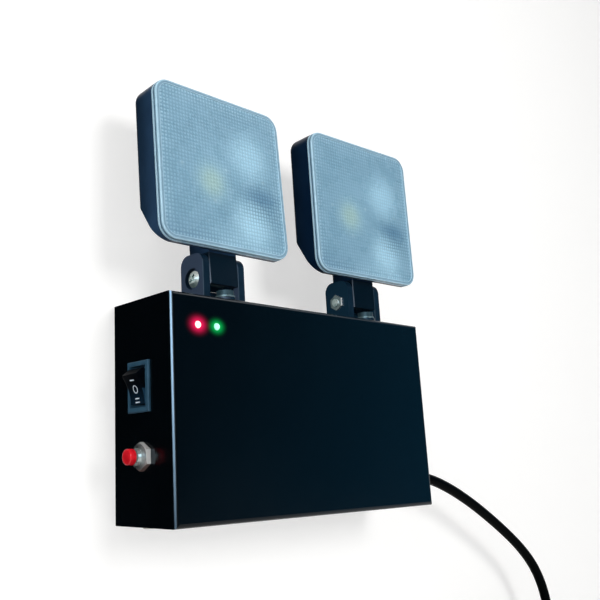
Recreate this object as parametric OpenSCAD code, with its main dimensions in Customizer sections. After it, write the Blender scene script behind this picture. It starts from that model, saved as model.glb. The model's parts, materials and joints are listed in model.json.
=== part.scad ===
// Wall-mounted emergency light: a folded steel case with two square lamp heads on yokes.
// +X is to the viewer's right, the front faces -Y, and the back lies on the wall at y = 0.
// The origin is midway between the two wall screws, on the back face.

/* [Case] */
// Width of the case
case_w = 164.5; // [156:0.5:190]
// Height of the case
case_h = 92; // [90:0.5:110]
// Depth of the case
case_d = 40.8; // [39:0.2:55]
// Thickness of the sheet steel
sheet_t = 1; // [0.8:0.1:1.4]
// Outer radius of the folds round the front
fold_r = 1.8; // [1.6:0.1:2.6]
// Distance of each wall screw from the side of the case
wall_in = 17.25; // [15:0.25:21]
// Height of the wall screws above the bottom of the case
wall_up = 76; // [72:0.5:80]
// Diameter of a wall screw hole
wall_hole_d = 5; // [4:0.5:6]

/* [Lamp heads] */
// Distance between the pivots of the two heads
head_pitch = 95.4; // [90:0.2:110]
// Width and height of the lens
head_side = 73.6; // [70:0.5:84]
// Radius of the corners of a head
head_corner_r = 7.5; // [6:0.5:10]
// Depth of a housing behind its lens
housing_d = 13; // [12:0.5:20]
// Wall of the housing
housing_t = 2; // [1.6:0.1:2.4]
// Thickness of the lens
lens_t = 2; // [1.6:0.1:2.4]
// How far the left head leans back as it stands, in degrees
lean_left = 3; // [0:0.5:5]
// How far the right head leans back as it stands, in degrees
lean_right = 0.5; // [0:0.5:5]
// How far the right head is turned to the left as it stands, in degrees
turn_right = 2; // [0:0.5:10]

/* [Yokes] */
// Height of the pivot above the top of the case
pivot_up = 10.1; // [10:0.1:12]
// Distance of the pivot behind the swivel screw
pivot_back = 7.8; // [7.6:0.1:9]
// Distance of the swivel screw behind the front of the case
swivel_in = 6.5; // [6:0.5:8]
// Height of an ear above the top of the case
ear_h = 21.1; // [20.6:0.1:22.4]
// Depth of an ear, front to back
ear_d = 15.2; // [14.4:0.2:16]
// Thickness of an ear
ear_t = 3.7; // [3.2:0.1:5]
// Width of a neck
neck_w = 16; // [14:0.5:17]
// Diameter of the pivot bolts and the swivel screws
bolt_d = 4; // [3:0.5:4]

/* [Switch] */
// Height of the switch bezel
bezel_h = 21; // [20.6:0.1:22]
// Width of the switch bezel
bezel_w = 14.8; // [14.6:0.1:18]
// Distance of the switch behind the front of the case
switch_in = 22.3; // [21:0.1:24]
// Height of the switch above the bottom of the case
switch_up = 55.4; // [53:0.1:58]
// Tilt of the rocker to either side, in degrees
rocker_tilt = 20; // [16:1:20]

/* [Test button] */
// Distance of the button behind the front of the case
button_in = 20.4; // [15:0.1:22]
// Height of the button above the bottom of the case
button_up = 27.3; // [24:0.1:30]
// Diameter of the thread of the button
thread_d = 7; // [7:0.1:8]
// Width across the flats of the button nut
nut_af = 10; // [9.6:0.1:11]
// Diameter of the button cap
cap_d = 6.4; // [6:0.1:7]
// Travel of the button
button_travel = 1.8; // [1:0.1:2]

/* [Indicator lights] */
// Diameter of an indicator lens
led_d = 3; // [2.6:0.1:4]
// Distance of the red light from the left side of the case
led_in = 13.5; // [11:0.5:14]
// Distance between the red and the green light
led_pitch = 10.1; // [8:0.1:12]
// Distance of both lights below the top of the case
led_down = 13; // [12:0.5:16]

/* [Battery and board] */
// Diameter of a battery cell
cell_d = 18.6; // [18:0.1:19]
// Length of a battery cell
cell_l = 66.5; // [60:0.5:68]
// Height of the battery above the bottom of the case
battery_up = 12; // [11:0.5:14]
// Width of the circuit board
board_w = 50; // [48:0.5:52]
// Height of the circuit board
board_h = 62; // [60:0.5:64]
// Thickness of the circuit board
board_t = 1.6; // [1:0.1:2]

/* [Cord] */
// Diameter of the cord
cord_d = 5.6; // [5.4:0.1:5.8]
// Height of the cord exit above the bottom of the case
cord_up = 12.5; // [11:0.5:14]
// Length of the tapered strain relief
relief_l = 20; // [20:0.5:24]

/* [Hidden] */
$fn = 64;
hull_fn = 32;

// Overrun of every cut
cut = 1;
// Gap between pieces that are fitted together
slip = 0.1;
// Gap between pieces that move past each other
run = 0.25;

// Faces of the case
left_x = -case_w / 2;
right_x = case_w / 2;
front_y = -case_d;
bottom_z = -wall_up;
wall_pitch = case_w - 2 * wall_in;
top_z = case_h - wall_up;

// Sheet-metal screws: shank, head, and how far a shank reaches
screw_r = 1.5;
screw_head_r = 2.8;
screw_head_h = 1.8;
screw_l = 6;
screw_slot_w = 0.9;

// Back plate: its flanges reach forward inside the cover
flange_l = 10;
case_screw_side = 12.25;
case_screw_x = case_w / 2 - case_screw_side;
case_screw_in = 6;

// Swivel screws, washers and nuts, which hold the yokes on the case
swivel_y = front_y + swivel_in;
foot_t = 1;
web_h = 7;
web_t = 1.5;
foot_r = 4.6;
washer_r = 4.3;
washer_t = 0.7;
pan_r = 3.8;
pan_h = 2.3;
nut_h = 3.2;
nut_flats = 7;
swivel_grip = 2;
cross_w = 1;
cross_l = 4.4;
cross_deep = 1.2;

// Pivot of a head, measured from the top of the case and the swivel screw
ear_corner_r = 5;
ear_in = neck_w / 2 + run;
ear_out = ear_in + ear_t;
head_recess_r = 4.7;
head_recess_deep = 2.4;
nut_recess_deep = 2.2;
pivot_head_h = 2.6;
bolt_proud = 0.5;

// Head: its lens plane stands ahead of the pivot, its lower edge above it
lens_ahead = 11.4;
head_rise = 11.3;
flange_t = 1;
groove_t = 0.6;
groove_in = 0.8;
rim_t = 1.2;
rim_in = 0.2;
rim_round = 0.5;
rim_band = 3;
rim_lip = 0.3;
skirt_t = 1.4;
skirt_l = 2.6;
gasket_t = 0.5;
gasket_w = 0.9;
heel_round = 1.8;
lip_d = 3.5;
lip_h = 3;
heel_h = 19;
housing_y = flange_t - lens_ahead;
housing_back = housing_y + housing_d;
chamfer_slope = (heel_h - lip_h) / (housing_d - lip_d);
skirt_in = housing_t + slip + gasket_w;

// Neck of a head
neck_front = 7.6;
neck_back = 5.2;
neck_t = 2;
neck_drop = 3.1;
cheek_r = 5.4;
neck_top = 22;
neck_blend = 8;

// What shows through the lens
pcb_side = 26;
pcb_t = 1.6;
pcb_boss_r = 3;
pcb_boss_h = 1.6;
chip_r = 6;
chip_t = 1;
chip_drop = 0.8;
dish_side = 60;
dish_t = 0.8;
dish_open = 20;
pcb_screw_x = 9.5;
pcb_screw_r = 1;
pcb_screw_head_r = 1.9;
pcb_screw_head_h = 1.2;

// Rocker switch
bezel_t = 1.2;
bezel_edge = 0.6;
window_h = 17;
window_w = 10.9;
body_h = 19;
body_w = 12.8;
body_l = 15;
well_l = 11;
rocker_pivot_in = 0.35;
rocker_half = 6.8;
rocker_face = 2.8;
rocker_tip = 3.9;
rocker_w = window_w - 2 * run;
rocker_pin_r = 1.2;
rocker_pin_l = 0.55;
pin_slip = 0.08;
rocker_skirt = 1;
rocker_hub_share = 0.25;
rocker_keel = 3.4;
rocker_steps = 10;
blade_w = 4.8;
blade_t = 0.8;
blade_l = 7;
blade_pitch = 6.5;
blade_sunk = 1.5;

// Test button
nut_t = 2.2;
nut_bevel = 0.4;
thread_out = 3.4;
can_r = 5.6;
can_l = 14;
can_wall = 1.2;
stem_d = 5;
stem_bore_slip = 0.1;
cap_out = 8.4;
cap_l = 2.9;
cap_round = 0.8;
stem_held = 2;
collar_r = 3.6;
collar_t = 1.2;
spring_r = 2.9;
spring_wire = 0.5;
spring_turns = 4;
spring_rings = 8;
tag_w = 2.4;
tag_t = 0.5;
tag_l = 6;
tag_x = 2.6;

// Indicator lights
led_proud = 1;
led_flange_r = 2;
led_flange_t = 1;
led_leg = 0.6;
led_leg_l = 4;
led_leg_gap = 0.9;
strip_w = 22;
strip_h = 9;
strip_t = 1.2;

// Battery strap, board and what stands on the board
strap_w = 14;
strap_t = 0.8;
strap_foot = 8;
board_side = 4.5;
board_x = case_w / 2 - board_side - board_w / 2;
battery_share = 0.593;
battery_x = left_x + battery_share * (board_x - board_w / 2 - left_x);
board_up = 8;
standoff_h = 6;
standoff_r = 3;
board_screw_in = 4;
board_screw_l = 5;
core_w = 30;
core_h = 25;
core_d = 12;
yoke_gap_share = 0.22;
winding_d = 20;
winding_round = 4;
core_up = 41;
cap_can_r = 5;
cap_can_h = 16;
cap_groove = 0.5;
cap_base = 2.4;
cap_pitch = 13;
cap_up = 17;
cap_in = 13;
block_w = 9;
block_h = 20;
block_d = 10;
block_ways = 3;
block_well_r = 1.8;
block_well_d = 4;
block_up = 20;
block_side = 8;
block_x = board_x + board_w / 2 - block_side;

// Cord outlet
relief_flange_r = 6.5;
relief_flange_t = 1.8;
relief_root_r = 5.2;
relief_tip_r = 3.5;
relief_collar_r = 4.9;
relief_barb_r = 5.7;
relief_inside = 6;
relief_ribs = 5;
relief_rib_w = 1.4;
relief_rib_deep = 0.6;

// Route of the cord from the strain relief down to the coil
cord_y = -case_d / 2;
CORD = [[104.5, -20.4, -63.5], [109, -20.4, -64], [118, -20.4, -66.3], [130, -20.4, -70.5],
    [142, -20.4, -75.6], [154, -20.4, -81.4], [166, -20.4, -87.8], [178, -20.4, -94.7],
    [190, -20.4, -102.2], [201, -20.4, -110.2], [210.5, -20.4, -119.2], [217.6, -20.4, -129.8],
    [221.6, -20.4, -141.6], [222.9, -20.4, -153.8], [223, -20.4, -166], [223, -20.4, -178]];
cord_sides = 10;

// Coil: two layers, in and out again
coil_turns = 4;
coil_r = 37.2;
coil_pitch = 6.2;
coil_x = 185.8;
coil_z = -195;
coil_rings = 24;
coil_sides = 6;
coil_tail = 21;
climb_turns = 0.25;
tie_w = 5;
tie_t = 0.9;
tie_slip = 0.25;

// Plug
plug_l = 34;
plug_w = 26;
plug_t = 13.6;
plug_neck_r = 4.6;
plug_neck_l = 10;
plug_shoulder = 9;
plug_end_share = 0.72;
prong_r = 2;
prong_l = 19;
prong_pitch = 19;
prong_sunk = 6;

steel = "silver";
black = "#101418";

// Extrudes a drawing in X and Z from y0 to y1
module slab_y(y0, y1) {
    translate([0, y1, 0]) rotate([90, 0, 0]) linear_extrude(y1 - y0) children();
}

// Extrudes a drawing in Y and Z from x0 to x1
module slab_x(x0, x1) {
    translate([x0, 0, 0]) rotate([90, 0, 90]) linear_extrude(x1 - x0) children();
}

// Extrudes a drawing in X and Y from z0 to z1
module slab_z(z0, z1) {
    translate([0, 0, z0]) linear_extrude(z1 - z0) children();
}

// Round rods along the three axes
module rod_x(x0, x1, r) {
    translate([x0, 0, 0]) rotate([0, 90, 0]) cylinder(h = x1 - x0, r = r);
}
module rod_y(y0, y1, r) {
    translate([0, y1, 0]) rotate([90, 0, 0]) cylinder(h = y1 - y0, r = r);
}
module rod_z(z0, z1, r) {
    translate([0, 0, z0]) cylinder(h = z1 - z0, r = r);
}

// A rectangle with round corners
module round_rect(w, h, r) {
    square([w - 2 * r, h], center = true);
    square([w, h - 2 * r], center = true);
    for (x = [-1, 1], y = [-1, 1])
        translate([x * (w / 2 - r), y * (h / 2 - r)]) circle(r);
}

// A folded profile: open at the back, round at its two front corners
module fold_2d(w, d, r, over) {
    translate([-w / 2, r - d]) square([w, d - r + over]);
    translate([r - w / 2, -d]) square([w - 2 * r, d]);
    for (x = [-1, 1]) translate([x * (w / 2 - r), r - d]) circle(r);
}

// A pan with folded front edges, from front_y to over
module pan(w, h, d, r, over) {
    intersection() {
        slab_z(-h / 2, h / 2) fold_2d(w, d, r, over);
        slab_x(-w / 2, w / 2) rotate(-90) fold_2d(h, d, r, over);
    }
}

// The two swivel screws stand at these places
module at_swivels() {
    for (side = [-1, 1]) translate([side * head_pitch / 2, swivel_y, top_z]) children();
}

// The four case screws, each turned so that its head is outside
module at_case_screws() {
    for (x = [-1, 1]) {
        translate([x * case_screw_x, -case_screw_in, top_z]) children();
        translate([x * case_screw_x, -case_screw_in, bottom_z]) rotate([180, 0, 0]) children();
    }
}

module front_cover() {
    color(black) difference() {
        translate([0, 0, (top_z + bottom_z) / 2]) difference() {
            pan(case_w, case_h, case_d, fold_r, 0);
            translate([0, sheet_t, 0])
                pan(case_w - 2 * sheet_t, case_h - 2 * sheet_t, case_d, fold_r - sheet_t, cut);
        }
        at_swivels() rod_z(-sheet_t - cut, cut, bolt_d / 2 + slip);
        at_case_screws() rod_z(-sheet_t - cut, cut, screw_r + slip);
        at_switch() translate([-cut, -body_w / 2 - slip, -body_h / 2 - slip])
            cube([sheet_t + 2 * cut, body_w + 2 * slip, body_h + 2 * slip]);
        at_button() rod_x(-cut, sheet_t + cut, thread_d / 2 + slip);
        at_lights() rod_y(-cut, sheet_t + cut, led_d / 2 + slip);
        at_outlet() rod_x(-sheet_t - cut, cut, relief_collar_r + slip);
    }
}

// A plate with a flange along its top and bottom, which the cover is screwed to
module back_plate() {
    w = case_w - 2 * sheet_t - 2 * slip;
    h = case_h - 2 * sheet_t - 2 * slip;
    color("#2a2d30") difference() {
        translate([0, 0, (top_z + bottom_z) / 2])
            slab_x(-w / 2, w / 2) translate([-flange_l, 0]) rotate(90) difference() {
                fold_2d(h, flange_l, fold_r, 0);
                fold_2d(h - 2 * sheet_t, flange_l - sheet_t, fold_r - sheet_t, cut);
            }
        for (x = [-1, 1]) translate([x * wall_pitch / 2, 0, 0])
            rod_y(-sheet_t - cut, cut, wall_hole_d / 2);
        at_case_screws() rod_z(-3 * sheet_t - cut, cut, screw_r + slip);
        at_strap_screws() rod_y(-sheet_t - cut, cut, screw_r + slip);
    }
}

// A pan-head screw along +Z: its head stands on z = 0 and its shank goes down
module sheet_screw(l) {
    difference() {
        union() {
            rod_z(-l, screw_head_h / 2, screw_r);
            rotate_extrude() polygon([[0, 0], [screw_head_r, 0], [screw_head_r, screw_head_h / 2],
                [screw_head_r - screw_head_h / 2, screw_head_h], [0, screw_head_h]]);
        }
        for (a = [0, 90]) rotate(a)
            translate([-screw_r, -screw_slot_w / 2, screw_head_h - screw_slot_w])
                cube([2 * screw_r, screw_slot_w, screw_slot_w + cut]);
    }
}

module case_screws() {
    color(steel) at_case_screws() sheet_screw(screw_l);
}

// Battery: two cells side by side in one sleeve, with a cap on each end
battery_z = bottom_z + battery_up + cell_d;
module pack_2d(grow) {
    for (z = [-1, 1]) translate([-cell_d / 2, z * cell_d / 2]) circle(cell_d / 2 + grow);
    translate([-cell_d - grow, -cell_d / 2]) square([cell_d + 2 * grow, cell_d]);
}

module battery_pack() {
    color("#2f6db0") translate([battery_x, -sheet_t, battery_z]) {
        slab_x(screw_r - cell_l / 2, cell_l / 2 - screw_r) pack_2d(0);
        for (z = [-1, 1]) translate([0, -cell_d / 2, z * cell_d / 2])
            rod_x(-cell_l / 2, cell_l / 2, cell_d / 2 - sheet_t);
    }
}

strap_reach = cell_d + strap_foot / 2;
module at_strap_screws() {
    for (z = [-1, 1]) translate([battery_x, 0, battery_z + z * strap_reach]) children();
}

// A band over the battery with a foot above and below it
module battery_strap() {
    color(steel) difference() {
        translate([battery_x, -sheet_t, battery_z]) slab_x(-strap_w / 2, strap_w / 2) {
            difference() {
                intersection() {
                    pack_2d(strap_t);
                    translate([-2 * cell_d, -2 * cell_d]) square([2 * cell_d, 4 * cell_d]);
                }
                pack_2d(0);
                translate([-cell_d / 2, -cell_d]) square([cell_d, 2 * cell_d]);
            }
            for (z = [-1, 1]) translate([0, z * (cell_d + strap_t / 2)]) {
                translate([-cell_d / 2, -strap_t / 2]) square([cell_d / 2, strap_t]);
                translate([-strap_t, z > 0 ? -strap_t / 2 : strap_t / 2 - strap_foot])
                    square([strap_t, strap_foot]);
            }
        }
        at_strap_screws() rod_y(-2 * sheet_t - cut, cut, screw_r + slip);
    }
}

module strap_screws() {
    color(steel) at_strap_screws() translate([0, -sheet_t - strap_t, 0])
        rotate([90, 0, 0]) sheet_screw(sheet_t + strap_t);
}

// Circuit board on four standoffs
board_y = -sheet_t - standoff_h - board_t;
board_z = bottom_z + board_up + board_h / 2;
module at_board_corners() {
    for (x = [-1, 1], z = [-1, 1])
        translate([board_x + x * (board_w / 2 - board_screw_in), board_y,
            board_z + z * (board_h / 2 - board_screw_in)]) children();
}

module circuit_board() {
    color("#1f6b3a") difference() {
        translate([board_x, 0, board_z]) slab_y(board_y, board_y + board_t)
            square([board_w, board_h], center = true);
        at_board_corners() rod_y(-cut, board_t + cut, screw_r + slip);
    }
}

module board_standoffs() {
    color("gold") at_board_corners() difference() {
        rod_y(board_t, board_t + standoff_h, standoff_r);
        rod_y(board_t - cut, board_screw_l, screw_r + slip);
    }
}

module board_screws() {
    color(steel) at_board_corners() rotate([90, 0, 0]) sheet_screw(board_screw_l);
}

// Mains transformer: a laminated core with an E-shaped window round the winding
module transformer() {
    window = core_h * yoke_gap_share;
    translate([board_x - core_w / 4, 0, bottom_z + board_up + core_up]) {
        color("#70757a") slab_y(board_y - (winding_d + core_d) / 2, board_y - (winding_d - core_d) / 2)
            difference() {
                square([core_w, core_h], center = true);
                for (x = [-1, 1]) translate([x * core_w / 4, 0])
                    square([core_w * yoke_gap_share, core_h - 2 * window], center = true);
            }
        color("#b98a3a") difference() {
            slab_y(board_y - winding_d, board_y)
                round_rect(core_w * (1 / 2 + yoke_gap_share), core_h - 2 * window, winding_round / 2);
            slab_y(board_y - (winding_d + core_d) / 2, board_y - (winding_d - core_d) / 2)
                square([core_w / 2 - core_w * yoke_gap_share, core_h], center = true);
        }
    }
}

module capacitors() {
    color("#23407a") for (i = [0, 1])
        translate([board_x - board_w / 2 + cap_in + i * cap_pitch, board_y, bottom_z + board_up + cap_up])
            rotate([90, 0, 0]) rotate_extrude() polygon([[0, 0], [cap_can_r, 0],
                [cap_can_r, cap_base - cap_groove], [cap_can_r - cap_groove, cap_base],
                [cap_can_r, cap_base + cap_groove], [cap_can_r, cap_can_h - cap_groove],
                [cap_can_r - cap_groove, cap_can_h], [0, cap_can_h]]);
}

module terminal_block() {
    step = block_h / block_ways;
    color("#2c8c4a") difference() {
        translate([block_x - block_w / 2, board_y - block_d, bottom_z + block_up])
            cube([block_w, block_d, block_h]);
        for (i = [0.5 : block_ways - 0.5])
            translate([block_x, board_y - block_d, bottom_z + block_up + i * step])
                rod_y(-cut, block_well_d, block_well_r);
    }
}

// Indicator lights through the front of the case, on a strip of board behind it
module at_lights() {
    for (i = [0, 1]) translate([left_x + led_in + i * led_pitch, front_y, top_z - led_down]) children();
}

module light(i, tint) {
    color(tint) translate([left_x + led_in + i * led_pitch, front_y, top_z - led_down]) {
        rod_y(led_d / 2 - led_proud, sheet_t, led_d / 2);
        intersection() {
            translate([0, led_d / 2 - led_proud, 0]) sphere(led_d / 2);
            rod_y(-led_proud - cut, led_d / 2 - led_proud, led_d);
        }
        rod_y(sheet_t, sheet_t + led_flange_t, led_flange_r);
        for (x = [-1, 1]) translate([x * led_leg_gap - led_leg / 2, sheet_t, -led_leg / 2])
            cube([led_leg, led_flange_t + led_leg_l, led_leg]);
    }
}

module red_light() { light(0, "red"); }
module green_light() { light(1, "lime"); }

module indicator_board() {
    y = front_y + sheet_t + led_flange_t + led_leg_l;
    color("#1f6b3a") translate([left_x + led_in + led_pitch / 2, 0, top_z - led_down])
        slab_y(y, y + strip_t) square([strip_w, strip_h], center = true);
}

// Rocker switch in the left wall, drawn with +X going in from the wall's outer face
module at_switch() {
    translate([left_x, front_y + switch_in, bottom_z + switch_up]) children();
}

module switch_body() {
    color("#20282e") at_switch() difference() {
        union() {
            translate([-bezel_t / 2, 0, 0]) cube([bezel_t, bezel_w, bezel_h], center = true);
            translate([0, -body_w / 2, -body_h / 2]) cube([body_l, body_w, body_h]);
        }
        translate([-bezel_t - cut, -window_w / 2, -window_h / 2])
            cube([bezel_t + well_l + cut, window_w, window_h]);
        translate([rocker_pivot_in, 0, 0]) rotate([90, 0, 0])
            cylinder(h = rocker_w + 2 * rocker_pin_l + run, r = rocker_pin_r + pin_slip, center = true);
        for (z = [-1, 1], y = [-1, 1])
            translate([-bezel_t, y * bezel_w / 2, z * bezel_h / 2]) {
                rotate([0, 0, 45]) cube([bezel_edge, bezel_edge, 2 * bezel_h], center = true);
                rotate([0, 45, 0]) cube([bezel_edge, 2 * bezel_w, bezel_edge], center = true);
            }
    }
}

module switch_terminals() {
    color("#c9a24a") at_switch() for (i = [-1 : 1])
        translate([body_l, -blade_w / 2, i * blade_pitch - blade_t / 2])
            cube([blade_l, blade_w, blade_t]);
}

// Rocker: a shallow hollow face between two raised ends, on a round pin
function rocker_face_at(t) = rocker_face + (rocker_tip - rocker_face) * pow(t / rocker_half, 2);
module rocker() {
    color("#0c1114") at_switch() translate([rocker_pivot_in, 0, 0]) rotate([0, -rocker_tilt, 0])
        rotate([90, 0, 0]) {
            translate([0, 0, -rocker_w / 2]) linear_extrude(rocker_w) polygon(concat(
                [for (i = [0 : rocker_steps])
                    let (t = rocker_half * (2 * i / rocker_steps - 1)) [-rocker_face_at(t), t]],
                [[rocker_skirt, rocker_half], [rocker_keel, rocker_half * rocker_hub_share],
                    [rocker_keel, -rocker_half * rocker_hub_share], [rocker_skirt, -rocker_half]]));
            cylinder(h = rocker_w + 2 * rocker_pin_l, r = rocker_pin_r, center = true);
        }
}

// Test button in the left wall, drawn with +X going in from the wall's outer face
module at_button() {
    translate([left_x, front_y + button_in, bottom_z + button_up]) children();
}

button_shoulder = sheet_t + can_wall;
module button_bushing() {
    color(steel) at_button() difference() {
        union() {
            rod_x(-thread_out, sheet_t + can_wall, thread_d / 2);
            rod_x(sheet_t, sheet_t + can_l, can_r);
        }
        rod_x(-thread_out - cut, sheet_t + can_l - can_wall, stem_d / 2 + stem_bore_slip);
        rod_x(button_shoulder, sheet_t + can_l - can_wall, can_r - can_wall);
    }
}

module button_nut() {
    corner = nut_af / sqrt(3);
    color(steel) at_button() difference() {
        intersection() {
            translate([-nut_t, 0, 0]) rotate([0, 90, 0]) cylinder(h = nut_t, r = corner, $fn = 6);
            translate([-nut_t, 0, 0]) rotate([0, 90, 0]) rotate_extrude()
                polygon([[0, 0], [nut_af / 2, 0], [corner, nut_bevel], [corner, nut_t], [0, nut_t]]);
        }
        rod_x(-nut_t - cut, cut, thread_d / 2);
    }
}

// Cap, pushed over the outer end of the plunger
module test_button() {
    color("red") at_button() difference() {
        translate([-cap_out, 0, 0]) rotate([0, 90, 0]) rotate_extrude() {
            translate([0, cap_round]) square([cap_d / 2, cap_l - cap_round]);
            square([cap_d / 2 - cap_round, cap_l]);
            translate([cap_d / 2 - cap_round, cap_round]) circle(cap_round);
        }
        rod_x(cap_l - cap_out - stem_held, cap_l - cap_out + cut, stem_d / 2);
    }
}

module button_plunger() {
    color(steel) at_button() {
        rod_x(cap_l - cap_out - stem_held, button_shoulder + run + collar_t, stem_d / 2);
        rod_x(button_shoulder + run, button_shoulder + run + collar_t, collar_r);
    }
}

// A tube of n sides and radius r along a list of points, closed at both ends
function unit(v) = v / norm(v);
function ahead(p, i) = unit(p[min(i + 1, len(p) - 1)] - p[max(i - 1, 0)]);
function ring(c, t, up, r, n) = let (a = unit(cross(t, up)), b = cross(a, t))
    [for (k = [0 : n - 1]) c + r * (cos(360 * k / n) * a + sin(360 * k / n) * b)];
module tube(p, up, r, n) {
    m = len(p);
    polyhedron(
        points = [for (i = [0 : m - 1]) each ring(p[i], i == 0 ? unit(p[1] - p[0])
            : i == m - 1 ? unit(p[m - 1] - p[m - 2]) : ahead(p, i), up, r, n)],
        faces = concat(
            [for (i = [0 : m - 2], k = [0 : n - 1]) each [
                [i * n + k, i * n + (k + 1) % n, (i + 1) * n + (k + 1) % n],
                [i * n + k, (i + 1) * n + (k + 1) % n, (i + 1) * n + k]]],
            [for (k = [1 : n - 2]) [0, k + 1, k]],
            [for (k = [1 : n - 2]) let (o = (m - 1) * n) [o, o + k, o + k + 1]]));
}

// The return spring is wound between the bottom of the can and the collar's stop
spring_from = button_shoulder + run + collar_t;
spring_to = sheet_t + can_l - can_wall;
module button_spring() {
    span = spring_to - spring_from - 2 * spring_wire;
    color(steel) at_button() tube([for (i = [0 : spring_turns * spring_rings])
        let (a = 360 * i / spring_rings)
        [spring_from + spring_wire + span * i / (spring_turns * spring_rings),
            spring_r * cos(a), spring_r * sin(a)]], [1, 0, 0], spring_wire, 6);
}

module button_terminals() {
    color("#c9a24a") at_button() for (y = [-1, 1])
        translate([sheet_t + can_l, y * tag_x - tag_t / 2, -tag_w / 2]) cube([tag_l, tag_t, tag_w]);
}

// Cord outlet in the right wall, drawn with +X going out from the wall's outer face
module at_outlet() {
    translate([right_x, cord_y, bottom_z + cord_up]) children();
}

module strain_relief() {
    rib_step = (relief_l - relief_flange_t) / relief_ribs;
    color(black) at_outlet() rotate([0, 90, 0]) rotate_extrude() difference() {
        polygon([[0, -relief_inside], [relief_collar_r, -relief_inside],
            [relief_barb_r, -sheet_t - slip], [relief_collar_r, -sheet_t - slip],
            [relief_collar_r, 0], [relief_flange_r, 0], [relief_flange_r, relief_flange_t],
            [relief_root_r, relief_flange_t], [relief_tip_r, relief_l], [0, relief_l]]);
        for (i = [1 : relief_ribs - 1]) let (z = relief_flange_t + i * rib_step,
            r = relief_root_r + (relief_tip_r - relief_root_r) * i / relief_ribs)
            translate([r - relief_rib_deep, z - relief_rib_w / 2]) square([relief_rib_w, relief_rib_w]);
    }
}

relief_tip = [right_x + relief_l, cord_y, bottom_z + cord_up];
coil_in = [coil_x + coil_r, CORD[0][1], coil_z + cord_d];
cord_path = concat([relief_tip], CORD, [coil_in]);
module power_cord() {
    color(black) tube(cord_path, [0, 1, 0], cord_d / 2, cord_sides);
}

// The coil spirals in, climbs a layer as the spiral reverses, and spirals out again
function climb(u) = let (s = (u - coil_turns / 2) / climb_turns / 2 + 1 / 2)
    s <= 0 ? 0 : s >= 1 ? 1 : s * s * (3 - 2 * s);
function coil_at(u) = let (r = coil_r - coil_pitch * min(u, coil_turns - u), a = -360 * u)
    [coil_x + r * cos(a), CORD[0][1] + coil_pitch * climb(u), coil_z + r * sin(a)];
coil_out = [coil_x + coil_r, CORD[0][1] + coil_pitch, coil_z - coil_tail];
coil_path = concat([coil_in], [for (i = [0 : coil_turns * coil_rings]) coil_at(i / coil_rings)],
    [coil_out]);
// Least distance between turns, less the cord's own thickness
coil_gap = min([for (i = [0 : len(coil_path) - 1], j = [0 : len(coil_path) - 1])
    if (j - i > coil_rings / 2) norm(coil_path[i] - coil_path[j])]) - cord_d;
echo(coil_gap = coil_gap);
function length_of(p, i = 1) = i >= len(p) ? 0 : norm(p[i] - p[i - 1]) + length_of(p, i + 1);
echo(cord_length = length_of(cord_path), coil_length = length_of(coil_path));

module cord_coil() {
    color(black) tube(coil_path, [0, 1, 0], cord_d / 2, coil_sides);
}

// A flat band round all the turns at the top of the coil
module cord_tie() {
    low = coil_r - coil_pitch * (coil_turns / 2 - 1 / 4) - cord_d / 2 - tie_slip;
    high = coil_r - coil_pitch / 4 + cord_d / 2 + tie_slip;
    near = CORD[0][1] - cord_d / 2 - tie_slip;
    far = CORD[0][1] + coil_pitch + cord_d / 2 + tie_slip;
    color("#1b1b1b") translate([coil_x - tie_w / 2, 0, coil_z]) slab_x(0, tie_w)
        difference() {
            translate([near - tie_t, low - tie_t])
                square([far - near + 2 * tie_t, high - low + 2 * tie_t]);
            translate([near, low]) square([far - near, high - low]);
        }
}

// Plug: hangs under the coil, its prongs pointing down
module at_plug() { translate(coil_out) children(); }
module plug_body() {
    color(black) at_plug() {
        rotate([180, 0, 0]) cylinder(h = plug_neck_l, r1 = plug_neck_r * plug_end_share, r2 = plug_neck_r);
        hull() {
            translate([0, 0, -plug_neck_l]) slab_z(-plug_shoulder / 4, 0)
                circle(plug_neck_r, $fn = hull_fn);
            translate([0, 0, -plug_neck_l - plug_shoulder]) slab_z(-plug_shoulder, 0)
                round_rect(plug_w, plug_t, plug_t / 4, $fn = hull_fn);
            translate([0, 0, -plug_neck_l - plug_l]) slab_z(0, plug_shoulder)
                round_rect(plug_w * (1 + plug_end_share) / 2, plug_t, plug_t / 4, $fn = hull_fn);
        }
    }
}

module plug_pins() {
    color(steel) at_plug() for (x = [-1, 1])
        translate([x * prong_pitch / 2, 0, -plug_neck_l - plug_l]) {
            rod_z(prong_r - prong_l, 0, prong_r);
            translate([0, 0, prong_r - prong_l]) sphere(prong_r);
        }
}

// Swivel screws, washers and nuts
washer_z = run + foot_t + run;
module swivel_screws() {
    head_z = washer_z + washer_t;
    color(steel) at_swivels() {
        rod_z(-sheet_t - nut_h - swivel_grip, head_z + cut, bolt_d / 2);
        difference() {
            rod_z(head_z, head_z + pan_h, pan_r);
            for (a = [0, 90]) rotate(a)
                translate([-cross_l / 2, -cross_w / 2, head_z + pan_h - cross_deep])
                    cube([cross_l, cross_w, cross_deep + cut]);
        }
    }
}

module swivel_washers() {
    color(steel) at_swivels() difference() {
        rod_z(washer_z, washer_z + washer_t, washer_r);
        rod_z(-cut, washer_z + washer_t + cut, bolt_d / 2 + slip);
    }
}

module swivel_nuts() {
    color(steel) at_swivels() difference() {
        translate([0, 0, -sheet_t - nut_h]) cylinder(h = nut_h, r = nut_flats / sqrt(3), $fn = 6);
        rod_z(-sheet_t - nut_h - cut, cut, bolt_d / 2);
    }
}

// Puts a yoke in place: side is -1 for the left and 1 for the right, turned by turn
module at_yoke(side, turn) {
    translate([side * head_pitch / 2, swivel_y, top_z]) rotate(turn)
        translate([0, pivot_back, pivot_up]) children();
}

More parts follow.
